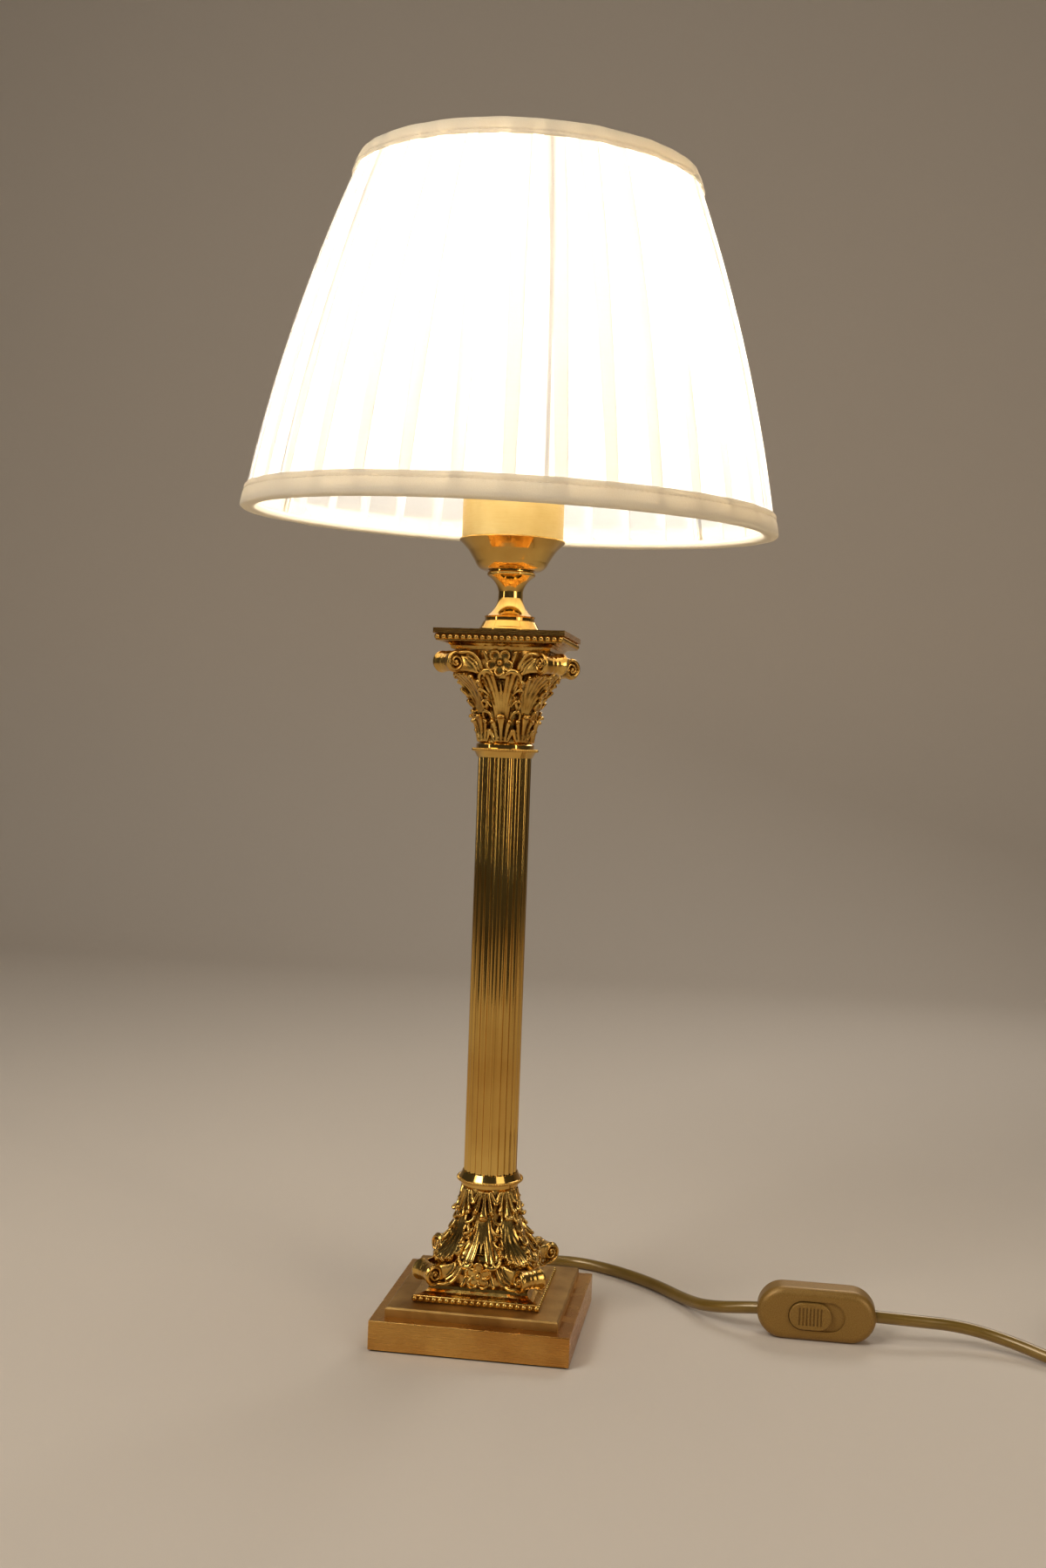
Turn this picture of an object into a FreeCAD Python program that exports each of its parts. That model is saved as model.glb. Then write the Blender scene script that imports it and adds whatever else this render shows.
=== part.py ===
import FreeCAD, Part
import math
import os
from FreeCAD import Vector

# Column table lamp: a fluted brass column between two Corinthian castings, on a
# square stepped base, with a pleated shade that leans a little on its fitting ring.
# Millimetres, +Z up. The origin is on the table, under the column's axis.
# +X is to the right and -Y towards the front.

os.makedirs("parts", exist_ok=True)

# ---------------------------------------------------------------- driving sizes
CLEAR = 0.1            # gap between pieces that slip together
RUN_GAP = 0.3          # gap between pieces that move on each other

# base
FELT_SIDE = 101.0
FELT_THICK = 1.0
PLINTH_SIDE = 104.0
PLINTH_TOP = 16.0
PLINTH_WALL = 1.2
PLINTH_EDGE = 0.5
BOTTOM_PLATE_THICK = 1.0
WEIGHT_GAP = 1.5       # air between the weight and the plinth's walls
WEIGHT_FLOOR = 3.8
WEIGHT_WEB = 2.2       # what is left of the weight above its counterbore
COUNTERBORE = 34.0
CABLE_SLOT = 8.0
STEP_SIDE = 90.0
STEP_THICK = 5.0
STEP_BEVEL = 0.8

# rod, nuts and washers
ROD_D = 10.0
ROD_BORE = 7.0
ROD_HOLE = 10.6
ROD_START = 8.2
WASHER_D = 26.0
WASHER_THICK = 1.2
NUT_FLATS = 14.0
NUT_THICK = 2.8

# castings
CAST_SIDE = 68.0       # across the beaded edge
CAST_HEIGHT = 56.0
BEAD_PITCH = 3.4
BEAD_DEPTH = 0.9
BEAD_TALL = 3.4
FILLET_PLATE = 1.1
FILLET_SIDE = 66.6
CAVETTO_TALL = 2.4
CAVETTO_SIDE = 56.0
BELL_END_R = 13.6
BELL_WAIST_R = 14.2
BELL_MID_R = 17.0
BELL_TOP_R = 23.5
VOLUTE_R = 6.0
VOLUTE_LONG = 13.0
VOLUTE_REACH = 38.5    # from the axis to the barrel's centre, along the diagonal
VOLUTE_DROP = 14.0     # from the plate's outer face to the barrel's centre
SPIRAL_RELIEF = 0.9
STALK_THICK = 2.4
RING_LEAVES = 8
RING_LEAF_TOP = 15.8
RING_LEAF_FLARE = 3.6
FACE_LEAF_FOOT = 11.0
FACE_LEAF_TOP = 37.5
CORNER_LEAF_TOP = 36.0
ROSETTE_R = 4.3
ROSETTE_PETALS = 5
ROSETTE_THICK = 2.0

# collars and column
COLLAR_TALL = 7.4
COLLAR_BEAD_R = 17.0
COLLAR_BAND_R = 15.5
COLLAR_LIP_R = 14.8
COLLAR_FLOOR = 2.0
COLUMN_R = 14.15
COLUMN_TALL = 232.3
COLUMN_BORE_R = 12.4
FLUTES = 24
FLUTE_SHARE = 0.76
FLUTE_DEPTH = 0.75

# top plate, neck and cup
TOP_PLATE_SIDE = 68.5
TOP_PLATE_THICK = 2.7
NECK_TALL = 33.0
NECK_R = 6.5
NECK_FOOT_R = 16.1
NECK_HEAD_R = 12.9
CUP_TALL = 16.3
CUP_RIM_R = 28.1
CUP_FOOT_R = 12.8
CUP_WALL = 1.2
SLEEVE_R = 26.9
SLEEVE_WALL = 0.8
SLEEVE_TALL = 36.2

# lampholder, E27
HOLDER_CAP_R = 19.0
HOLDER_CAP_TALL = 20.0
HOLDER_R = 21.5
HOLDER_BODY_TALL = 31.0
HOLDER_THREAD_R = 19.8
HOLDER_THREAD_TALL = 16.0
HOLDER_WALL = 2.2
SHELL_R = 13.9
SHELL_WALL = 0.4
SHELL_TALL = 24.0
INSERT_TALL = 11.0
RING_NUT_R = 25.0
RING_NUT_TALL = 6.5
RING_NUT_NOTCHES = 20

# bulb, A60 with an E27 cap
BULB_R = 30.0
BULB_LONG = 105.0
BULB_CAP_R = 13.0
BULB_CAP_TALL = 25.5
BULB_TIP_R = 4.8
BULB_GLASS_WALL = 0.9

# shade, measured square to its own axis before it leans
SHADE_FOOT_Z = 429.4
SHADE_TALL = 184.9
SHADE_FOOT_R = 141.2
SHADE_HEAD_R = 88.0
SHADE_BOW = 5.4        # how far the side bulges out of a straight line
SHADE_SPANS = 6
SHADE_WALL = 1.0
PLEATS = 36
PLEAT_STEP = 0.8
STRUTS = 6
STRUT_TURN = -74.0     # heading of the strut that faces the viewer, degrees
STRUT_R = 1.1
FRAME_GAP = 0.8        # between a strut and the cloth, where the cloth's facets turn a corner
RING_WIRE_R = 1.8
BOTTOM_TRIM_TALL = 12.2
TOP_TRIM_TALL = 9.0
TRIM_THICK = 1.2
SHADE_LEAN = 3.1       # degrees
LEAN_HEADING = -57.0   # where the top leans to, degrees from +X
LEAN_PIVOT_Z = 520.0
FITTER_HOLE_R = 20.2
FITTER_R = 27.5
FITTER_THICK = 1.5
ARM_R = 1.5
ARM_HEADINGS = (90.0, 210.0, 330.0)

# cord, in-line switch and plug
CORD_D = 6.5
FLEX_D = 4.4
FLEX_BEND = 5.0        # where the lead turns up into the rod
EXIT_Z = 7.0
GLAND_LONG = 20.0
GLAND_R = 4.9
GLAND_TIP_R = 4.0
GLAND_NECK_R = 4.1
SWITCH_LONG = 63.0
SWITCH_TALL = 28.0
SWITCH_DEEP = 18.0
SWITCH_EDGE = 4.5
SWITCH_AT = (176.0, 27.0)
TRACK_LONG = 30.0
TRACK_TALL = 15.8
TRACK_DEEP = 1.3
SLIDER_LONG = 22.5
SLIDER_TALL = 14.4
SLIDER_PROUD = 1.6
SLIDER_TRAVEL = 6.5
SLIDER_RIBS = 7
STEM_LONG = 6.0
STEM_TALL = 4.0
SCREW_R = 1.6
PLUG_WIDE = 35.3
PLUG_THICK = 13.7
PLUG_LONG = 33.0
PLUG_BACK_WIDE = 16.0
PLUG_RELIEF = 14.0
PIN_R = 2.0
PIN_LONG = 19.0
PIN_SPACING = 19.0

# The cord's route, chosen by hand: from the gland round to the switch, and from
# the switch to the coil. Its length that lies put away is wound in the coil.
LAMP_SIDE_ROUTE = [
    (0.0, 52.0, 7.0),
    (0.0, 86.0, 7.0),
    (11.0, 102.7, 4.2),
    (29.3, 110.7, 3.3),
    (50.0, 105.5, 3.3),
    (70.0, 93.5, 3.3),
    (88.0, 78.5, 3.3),
    (105.0, 57.0, 3.8),
    (119.5, 36.0, 8.2),
    (149.9, 24.8, 14.6),
]
MAINS_SIDE_ROUTE = [
    (201.5, 26.4, 14.2),
    (227.0, 28.0, 13.0),
    (252.0, 32.5, 11.0),
    (277.0, 26.0, 7.5),
    (302.0, 9.0, 3.6),
    (328.0, 0.0, 3.3),
]
COIL_AT = (354.0, 46.0)
COIL_R = 46.0          # centreline of the outermost turn
COIL_STEP = 7.1        # from one turn to the next, and from one layer to the next
COIL_TURNS_IN = 3.0
COIL_TURNS_OUT = 2.75
COIL_DIP = 1.5         # how far the climbing half turn draws in
TAIL_ROUTE = [
    (398.9, 78.0, 7.4),
    (399.2, 86.0, 6.85),
    (399.2, 94.0, 6.85),
]
TAIL_START = 12.0      # how far the cord runs straight on after the coil

# ---------------------------------------------------------------- worked-out heights
plinth_floor = FELT_THICK
step_floor = PLINTH_TOP
foot_floor = step_floor + STEP_THICK
lower_collar_z = foot_floor + CAST_HEIGHT
column_floor = lower_collar_z + COLLAR_FLOOR
column_top = column_floor + COLUMN_TALL
upper_collar_top = column_top + COLLAR_FLOOR
capital_top = upper_collar_top + CAST_HEIGHT
neck_floor = capital_top + TOP_PLATE_THICK
cup_floor = neck_floor + NECK_TALL
cup_top = cup_floor + CUP_TALL
cup_nut_z = cup_floor + CUP_WALL
holder_z = cup_nut_z + NUT_THICK
holder_body_z = holder_z + HOLDER_CAP_TALL
shoulder_z = holder_body_z + HOLDER_BODY_TALL
rod_top = holder_z + 6.0
sleeve_z = cup_top - 1.5
insert_z = holder_body_z + 2.0
shell_z = insert_z + INSERT_TALL
bulb_z = shell_z + 3.2
shade_head_z = SHADE_FOOT_Z + SHADE_TALL
AXIS = Vector(0, 0, 1)
ORIGIN = Vector(0, 0, 0)


# ---------------------------------------------------------------- small makers
def trace(start, *steps):
    """Edges of an outline in the XZ plane: a step is a point, or (point on the arc, end)."""
    edges = []
    here = Vector(start[0], 0, start[1])
    for step in steps:
        if isinstance(step[0], tuple):
            through = Vector(step[0][0], 0, step[0][1])
            end = Vector(step[1][0], 0, step[1][1])
            edges.append(Part.Arc(here, through, end).toShape())
        else:
            end = Vector(step[0], 0, step[1])
            edges.append(Part.LineSegment(here, end).toShape())
        here = end
    return edges


def closed_face(start, *steps):
    """A face in the XZ plane whose outline comes back to its start."""
    last = steps[-1][1] if isinstance(steps[-1][0], tuple) else steps[-1]
    closing = () if last == start else (start,)
    return Part.Face(Part.Wire(trace(start, *steps, *closing)))


def turned(start, *steps):
    """A solid of revolution about the lamp's axis."""
    return closed_face(start, *steps).revolve(ORIGIN, AXIS, 360)


def ring(inner, outer, floor, top):
    return turned((inner, floor), (outer, floor), (outer, top), (inner, top))


def disc(radius, floor, top):
    return Part.makeCylinder(radius, top - floor, Vector(0, 0, floor))


def slab(side, floor, top):
    return Part.makeBox(side, side, top - floor, Vector(-side / 2, -side / 2, floor))


def hex_nut(flats, thick, floor, bore):
    corner = flats / math.sqrt(3)
    corners = [
        Vector(corner * math.cos(math.radians(60 * k)), corner * math.sin(math.radians(60 * k)), floor)
        for k in range(7)
    ]
    nut = Part.Face(Part.makePolygon(corners)).extrude(Vector(0, 0, thick))
    return nut.cut(disc(bore / 2, floor - 1, floor + thick + 1))


def stadium(length, tall):
    """A face in the XZ plane, round at both ends, centred on the origin."""
    half = (length - tall) / 2
    r = tall / 2
    return closed_face(
        (-half, -r), (half, -r), ((half + r, 0), (half, r)), (-half, r), ((-half - r, 0), (-half, -r))
    )


def around(shape, count, start=0.0):
    """Copies of a shape turned evenly about the axis."""
    copies = []
    for k in range(count):
        copy = shape.copy()
        copy.rotate(ORIGIN, AXIS, start + 360.0 * k / count)
        copies.append(copy)
    return copies


def write(name, shape):
    """Saves one node, after it is tidied and tested."""
    shape = shape.removeSplitter()
    if not shape.isValid():
        print("not valid:", name)
    shape.exportStep("parts/" + name + ".step")
    print(name, len(shape.Solids), "solids, volume", round(shape.Volume, 1))
    return shape


# ---------------------------------------------------------------- tubes along a route
def tube_path(points, most=math.inf):
    """Straight runs joined by tangent arcs, each as large as its two runs allow, or cutting
    the corner by so much at most."""
    points = [Vector(*p) for p in points]
    edges, radii = [], []
    here = points[0]
    for before, corner, after in zip(points, points[1:], points[2:]):
        run_in, run_out = corner - before, after - corner
        turn = run_in.getAngle(run_out)
        cut = min(most, 0.45 * min(run_in.Length, run_out.Length))
        radius = cut / math.tan(turn / 2)
        radii.append(round(radius, 1))
        start = corner - run_in.normalize() * cut
        end = corner + run_out.normalize() * cut
        inward = (start + end) * 0.5 - corner
        bulge = radius * (1 / math.cos(turn / 2) - 1)
        middle = corner + inward.normalize() * bulge
        edges.append(Part.LineSegment(here, start).toShape())
        edges.append(Part.Arc(start, middle, end).toShape())
        here = end
    edges.append(Part.LineSegment(here, points[-1]).toShape())
    return Part.Wire(edges), radii


def tube(wire, diameter, name):
    """A round tube along a wire, with its volume set against section times length."""
    first = wire.OrderedEdges[0]
    start = first.valueAt(first.FirstParameter)
    heading = first.tangentAt(first.FirstParameter)
    section = Part.Wire(Part.Circle(start, heading, diameter / 2).toShape())
    solid = wire.makePipeShell([section], True, False)
    share = solid.Volume / (math.pi * diameter ** 2 / 4 * wire.Length)
    print(name, "length", round(wire.Length, 1), "volume share", round(share, 4))
    return solid


def biarc(p0, t0, p1, t1):
    """Two tangent arcs from one point and heading to another."""
    v = p1 - p0
    both = t0 + t1
    a = 2 * (t0.dot(t1) - 1)
    b = -2 * v.dot(both)
    c = v.dot(v)
    if abs(a) < 1e-9:
        d = -c / b
    else:
        d = (-b - math.sqrt(b * b - 4 * a * c)) / (2 * a)
        if d < 0:
            d = (-b + math.sqrt(b * b - 4 * a * c)) / (2 * a)
    joint = (p0 + p1 + (t0 - t1) * d) * 0.5
    return [arc_from(p0, t0, joint), arc_from(p1, t1 * -1, joint, True)]


def arc_from(start, heading, end, backwards=False):
    """The arc that leaves start along a heading and ends at end."""
    chord = end - start
    along = Vector(chord).normalize()
    aside = heading - along * heading.dot(along)
    half_turn = math.acos(max(-1.0, min(1.0, heading.dot(along))))
    middle = (start + end) * 0.5
    if aside.Length > 1e-9:
        middle += aside.normalize() * (chord.Length / 2 * math.tan(half_turn / 2))
    if backwards:
        return Part.Arc(end, middle, start).toShape()
    return Part.Arc(start, middle, end).toShape()


# ---------------------------------------------------------------- base
def base_shell():
    shell = slab(PLINTH_SIDE, plinth_floor, PLINTH_TOP)
    raised_edges = [e for e in shell.Edges if e.BoundBox.ZMin > plinth_floor - 0.5]
    top_edges = [e for e in raised_edges if e.BoundBox.ZMax > PLINTH_TOP - 0.1]
    shell = shell.makeFillet(PLINTH_EDGE, top_edges)
    shell = shell.cut(slab(PLINTH_SIDE - 2 * PLINTH_WALL, 0, PLINTH_TOP - PLINTH_WALL))
    shell = shell.cut(disc(ROD_HOLE / 2, 0, PLINTH_TOP + 1))
    inside_wall = Vector(0, PLINTH_SIDE / 2 - PLINTH_WALL - 1, EXIT_Z)
    outlet = Part.makeCylinder(GLAND_NECK_R + CLEAR, 2 * PLINTH_WALL + 2, inside_wall, Vector(0, 1, 0))
    return shell.cut(outlet)


def base_weight():
    side = PLINTH_SIDE - 2 * PLINTH_WALL - 2 * WEIGHT_GAP
    top = PLINTH_TOP - PLINTH_WALL
    weight = slab(side, WEIGHT_FLOOR, top)
    weight = weight.cut(disc(COUNTERBORE / 2, 0, top - WEIGHT_WEB))
    weight = weight.cut(disc(ROD_HOLE / 2, 0, top + 1))
    slot_top = EXIT_Z + GLAND_R + 0.5
    slot_wide = 2 * GLAND_R + 1
    slot = Part.makeBox(CABLE_SLOT, side, slot_top - 1, Vector(-CABLE_SLOT / 2, 0, 1))
    gland_room = Part.makeBox(slot_wide, 10, slot_top - 1, Vector(-slot_wide / 2, side / 2 - 8, 1))
    return weight.cut(slot).cut(gland_room)


def step_plate():
    plate = slab(STEP_SIDE, step_floor, foot_floor)
    rim = [e for e in plate.Edges if e.BoundBox.ZMin > foot_floor - 0.1]
    return plate.makeChamfer(STEP_BEVEL, rim).cut(disc(ROD_HOLE / 2, 0, foot_floor + 1))


# ---------------------------------------------------------------- Corinthian casting
def beaded_square(side, pitch, depth, floor, tall):
    """A square slab whose edge is a row of half-round beads."""
    count = max(4, round(side / pitch))
    half = side / 2
    edges = []
    corners = [(-1, -1), (1, -1), (1, 1), (-1, 1), (-1, -1)]
    inset = half - depth
    for (ax, ay), (bx, by) in zip(corners, corners[1:]):
        out = Vector((ax + bx) / 2, (ay + by) / 2, 0)
        start = Vector(ax * inset, ay * inset, floor)
        step = (Vector(bx * inset, by * inset, floor) - start) * (1.0 / count)
        for k in range(count):
            p0 = start + step * k
            p1 = start + step * (k + 1)
            edges.append(Part.Arc(p0, (p0 + p1) * 0.5 + out * depth, p1).toShape())
    return Part.Face(Part.Wire(edges)).extrude(Vector(0, 0, tall))


def bell(height):
    """The turned core that the leaves grow from."""
    under_plate = height - BEAD_TALL - FILLET_PLATE
    return turned(
        (0, 0),
        (BELL_END_R, 0),
        (BELL_END_R, 2),
        (BELL_WAIST_R, RING_LEAF_TOP),
        ((BELL_MID_R - 0.4, height * 0.53), (BELL_MID_R + 2.6, height * 0.68)),
        (BELL_TOP_R, under_plate - CAVETTO_TALL),
        (BELL_TOP_R, under_plate),
        (0, under_plate),
    )


def lobed(half, bulge):
    """A leaf's face in the XZ plane: arcs bulge between the points of its right half."""
    left = [(-x, z) for x, z in reversed(half)]
    points = half + [p for p in left if p not in half]
    edges = []
    centre = Vector(0, 0, sum(z for _, z in points) / len(points))
    loop = points + [points[0]]
    for (x0, z0), (x1, z1) in zip(loop, loop[1:]):
        p0, p1 = Vector(x0, 0, z0), Vector(x1, 0, z1)
        chord = p1 - p0
        if z0 == z1 and x0 == -x1:
            edges.append(Part.LineSegment(p0, p1).toShape())
            continue
        out = Vector(chord.z, 0, -chord.x).normalize()
        middle = (p0 + p1) * 0.5
        if out.dot(middle - centre) < 0:
            out = out * -1
        edges.append(Part.Arc(p0, middle + out * (bulge * chord.Length), p1).toShape())
    return Part.Face(Part.Wire(edges))


def leaf(half, bulge, side, spread):
    """A leaf on the bell: a curled band turned about the axis, trimmed to a lobed outline."""
    band = closed_face(*side).revolve(ORIGIN, AXIS, spread)
    band.rotate(ORIGIN, AXIS, -90 - spread / 2)
    outline = lobed(half, bulge).extrude(Vector(0, -60, 0))
    return band.common(outline)


def ring_leaf():
    """One of the small leaves round the narrow end, its tip curled outwards."""
    half_wide = math.pi * BELL_WAIST_R / RING_LEAVES * 1.06
    top = RING_LEAF_TOP
    half = [
        (half_wide * 0.62, 0.6),
        (half_wide * 0.92, top * 0.34),
        (half_wide * 0.98, top * 0.66),
        (half_wide * 0.78, top * 0.92),
        (half_wide * 0.34, top * 1.04),
    ]
    r = BELL_WAIST_R
    flare = r + RING_LEAF_FLARE
    side = (
        (r - 1.6, 0.3),
        (r + 0.1, 0.3),
        ((r + 0.9, top * 0.5), (flare, top * 0.86)),
        ((flare + 0.5, top * 0.98), (flare - 0.5, top * 1.07)),
        ((r + 1.4, top * 1.02), (r - 1.6, top * 0.8)),
    )
    return leaf(half, 0.2, side, 46)


def face_leaf():
    """The large leaf in the middle of a side: a stem that opens into two curled lobes."""
    foot, top = FACE_LEAF_FOOT, FACE_LEAF_TOP
    half = [
        (3.6, foot),
        (3.2, foot + 9),
        (5.6, foot + 15),
        (9.6, top - 6.5),
        (12.4, top - 1.5),
        (8.6, top + 1.2),
        (3.6, top - 2.4),
        (0.0, top - 6.2),
    ]
    low, mid, high = BELL_WAIST_R, BELL_MID_R + 0.8, BELL_MID_R + 5.6
    side = (
        (low - 1, foot - 0.5),
        (low + 1.2, foot - 0.5),
        ((mid + 1.0, foot + 14), (high + 1.4, top - 2)),
        ((high + 2.0, top + 0.6), (high + 0.4, top + 2.2)),
        (high - 3.2, top + 1.4),
        ((mid - 1.6, foot + 16), (low - 1, foot + 4)),
    )
    return leaf(half, 0.16, side, 88)


def corner_leaf():
    """The leaf under each volute, wide and toothed, its tip rolled out."""
    top = CORNER_LEAF_TOP
    half = [
        (3.0, 12.0),
        (6.0, 16.5),
        (5.6, 20.0),
        (8.4, 24.0),
        (7.6, 27.5),
        (9.6, 31.5),
        (6.6, top - 0.6),
        (2.6, top + 1.6),
    ]
    low, mid, high = BELL_WAIST_R, BELL_MID_R + 0.6, VOLUTE_REACH - VOLUTE_R - 3.6
    side = (
        (low - 1, 11.0),
        (low + 1.6, 11.0),
        ((mid + 1.8, 25.0), (high, top - 3.4)),
        ((high + 1.6, top - 0.8), (high - 0.6, top + 1.6)),
        ((mid + 4.4, 33.5), (low - 1, 20.0)),
    )
    return leaf(half, 0.17, side, 80)


def volute():
    """A corner scroll on the +X diagonal: a barrel lying across it, with a raised
    spiral on each end and a stalk that rises to it from the bell."""
    z = CAST_HEIGHT - VOLUTE_DROP
    half = VOLUTE_LONG / 2
    end = Vector(VOLUTE_REACH, -half, z)
    barrel = Part.makeCylinder(VOLUTE_R - 0.9, VOLUTE_LONG, end, Vector(0, 1, 0))
    shapes = [barrel]
    r = VOLUTE_R
    while r > 2.2:
        shapes.append(scroll_turn(r, z))
        r -= 2.1
    eye_proud = SPIRAL_RELIEF + 0.2
    eye_end = Vector(VOLUTE_REACH, -half - eye_proud, z)
    eye = Part.makeCylinder(1.3, VOLUTE_LONG + 2 * eye_proud, eye_end, Vector(0, 1, 0))
    shapes.append(eye)
    root = BELL_MID_R + 1.0
    top = z + VOLUTE_R
    stalk = closed_face(
        (root, z - 8.0),
        ((root + 6.0, top - 3.4), (VOLUTE_REACH, top)),
        (VOLUTE_REACH, top - STALK_THICK),
        ((root + 9.5, top - 6.6), (root + 3.0, z - 10.5)),
        (root - 3.0, z - 12.0),
    )
    wide = VOLUTE_LONG * 0.92
    stalk = stalk.extrude(Vector(0, wide, 0))
    stalk.translate(Vector(0, -wide / 2, 0))
    shapes.append(stalk)
    return shapes


def scroll_turn(radius, z):
    """One turn of the scroll, as a rim that stands out of both ends of the barrel."""
    length = VOLUTE_LONG + 2 * SPIRAL_RELIEF
    start = Vector(VOLUTE_REACH, -length / 2, z)
    rim = Part.makeCylinder(radius, length, start, Vector(0, 1, 0))
    return rim.cut(Part.makeCylinder(radius - 1.1, length, start, Vector(0, 1, 0)))


def ribbon():
    """The stem that runs from the middle of a side up to the volute on its right."""
    z = CAST_HEIGHT - VOLUTE_DROP
    corner = VOLUTE_REACH / math.sqrt(2)
    start = Vector(1.6, -(BELL_MID_R + 3.2), z - 1.5)
    end = Vector(corner - 5.2, -(corner + 3.6), z + VOLUTE_R - 1.1)
    middle = (start + end) * 0.5 + Vector(-2.2, 1.2, 3.0)
    path = Part.Wire(Part.Arc(start, middle, end).toShape())
    heading = path.Edges[0].tangentAt(path.Edges[0].FirstParameter)
    aside = heading.cross(Vector(0, 1, 0)).normalize()
    out = heading.cross(aside).normalize()
    section = ((-1.1, -2.6), (1.1, -2.6), (1.1, 1.4), (-1.1, 1.4), (-1.1, -2.6))
    corners = [start + aside * a + out * b for a, b in section]
    return path.makePipeShell([Part.makePolygon(corners)], True, False)


def rosette():
    """The flower under the plate, in the middle of a side."""
    z = CAST_HEIGHT - VOLUTE_DROP + 2.0
    edges = []
    inner = ROSETTE_R * 0.56
    for k in range(ROSETTE_PETALS):
        petal = []
        for share, r in ((-0.5, inner), (0, ROSETTE_R), (0.5, inner)):
            a = math.radians(90 + 360 / ROSETTE_PETALS * (k + share))
            petal.append(Vector(r * math.cos(a), 0, z + r * math.sin(a)))
        edges.append(Part.Arc(*petal).toShape())
    front = -(BELL_TOP_R + 1.6)
    petals = Part.Face(Part.Wire(edges)).extrude(Vector(0, 6, 0))
    petals.translate(Vector(0, front, 0))
    button = Part.makeCone(1.2, 1.7, ROSETTE_THICK, Vector(0, front - 1.1, z), Vector(0, 1, 0))
    return [petals, button]


def casting():
    """The whole casting, narrow end down at z = 0."""
    height = CAST_HEIGHT
    bead_floor = height - BEAD_TALL
    plate = slab(FILLET_SIDE, bead_floor - FILLET_PLATE, bead_floor)
    beads = beaded_square(CAST_SIDE, BEAD_PITCH, BEAD_DEPTH, bead_floor, BEAD_TALL)
    low = bead_floor - FILLET_PLATE - CAVETTO_TALL
    squares = []
    for side, z in ((CAVETTO_SIDE, low), (FILLET_SIDE - 1.0, bead_floor - FILLET_PLATE)):
        h = side / 2
        corners = ((-h, -h), (h, -h), (h, h), (-h, h), (-h, -h))
        squares.append(Part.makePolygon([Vector(x, y, z) for x, y in corners]))
    cavetto = Part.makeLoft(squares, True, True)
    pieces = [plate, beads, cavetto]
    pieces += around(ring_leaf(), RING_LEAVES)
    pieces += around(face_leaf(), 4)
    pieces += around(corner_leaf(), 4, 45)
    for shape in volute():
        pieces += around(shape, 4, 45)
    mirrored = ribbon().mirror(ORIGIN, Vector(1, 0, 0))
    pieces += around(ribbon(), 4) + around(mirrored, 4)
    for shape in rosette():
        pieces += around(shape, 4)
    whole = bell(height).multiFuse(pieces)
    return whole.cut(disc(ROD_HOLE / 2, -1, height + 1))


# ---------------------------------------------------------------- collars and column
def collar():
    """A turned collar, its closed end down at z = 0 and the column standing in it."""
    bore = COLUMN_R + CLEAR
    bead_z = COLLAR_TALL - 3.6
    return turned(
        (ROD_HOLE / 2, 0),
        (COLLAR_BAND_R - 0.6, 0),
        (COLLAR_BAND_R, 0.6),
        (COLLAR_BAND_R, bead_z - 1.4),
        (COLLAR_BEAD_R - 0.5, bead_z - 1.1),
        ((COLLAR_BEAD_R, bead_z - 0.4), (COLLAR_BEAD_R - 0.5, bead_z + 0.4)),
        (COLLAR_LIP_R, COLLAR_TALL),
        (bore, COLLAR_TALL),
        (bore, COLLAR_FLOOR),
        (ROD_HOLE / 2, COLLAR_FLOOR),
    )


def column_arc(*places):
    """An arc through three places, each an angle and a radius, at the column's foot."""
    points = [Vector(r * math.cos(a), r * math.sin(a), column_floor) for a, r in places]
    return Part.Arc(*points).toShape()


def column_tube():
    """A tube with round flutes, as one outline of arcs drawn up."""
    pitch = 2 * math.pi / FLUTES
    half = pitch * FLUTE_SHARE / 2
    deep = COLUMN_R - FLUTE_DEPTH
    edges = []
    for k in range(FLUTES):
        a = k * pitch
        edges.append(column_arc((a - half, COLUMN_R), (a, deep), (a + half, COLUMN_R)))
        ridge = (a + half, a + pitch / 2, a + pitch - half)
        edges.append(column_arc(*[(angle, COLUMN_R) for angle in ridge]))
    solid = Part.Face(Part.Wire(edges)).extrude(Vector(0, 0, COLUMN_TALL))
    return solid.cut(disc(COLUMN_BORE_R, column_floor - 1, column_top + 1))


def flipped(shape, top):
    """The same piece upside down, its z = 0 end at the height top."""
    copy = shape.copy()
    copy.rotate(ORIGIN, Vector(1, 0, 0), 180)
    copy.translate(Vector(0, 0, top))
    return copy


def raised(shape, z):
    copy = shape.copy()
    copy.translate(Vector(0, 0, z))
    return copy


# ---------------------------------------------------------------- neck, cup and sleeve
def neck():
    z = neck_floor
    top = neck_floor + NECK_TALL
    return turned(
        (ROD_HOLE / 2, z),
        (NECK_FOOT_R, z),
        ((NECK_FOOT_R + 0.3, z + 1.6), (NECK_FOOT_R - 0.4, z + 2.9)),
        (NECK_FOOT_R - 2.0, z + 6.0),
        (NECK_FOOT_R - 2.9, z + 6.4),
        (NECK_FOOT_R - 2.9, z + 8.0),
        (NECK_FOOT_R - 2.5, z + 8.8),
        ((NECK_R + 2.0, z + 13.2), (NECK_R + 0.1, z + 18.6)),
        (NECK_R, z + 22.0),
        ((NECK_R + 1.5, z + 26.0), (NECK_HEAD_R - 0.6, z + 30.2)),
        ((NECK_HEAD_R, z + 31.2), (NECK_HEAD_R - 0.2, top - 1.0)),
        (NECK_HEAD_R - 1.0, top - 0.6),
        (NECK_HEAD_R - 1.0, top),
        (ROD_HOLE / 2, top),
    )


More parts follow.
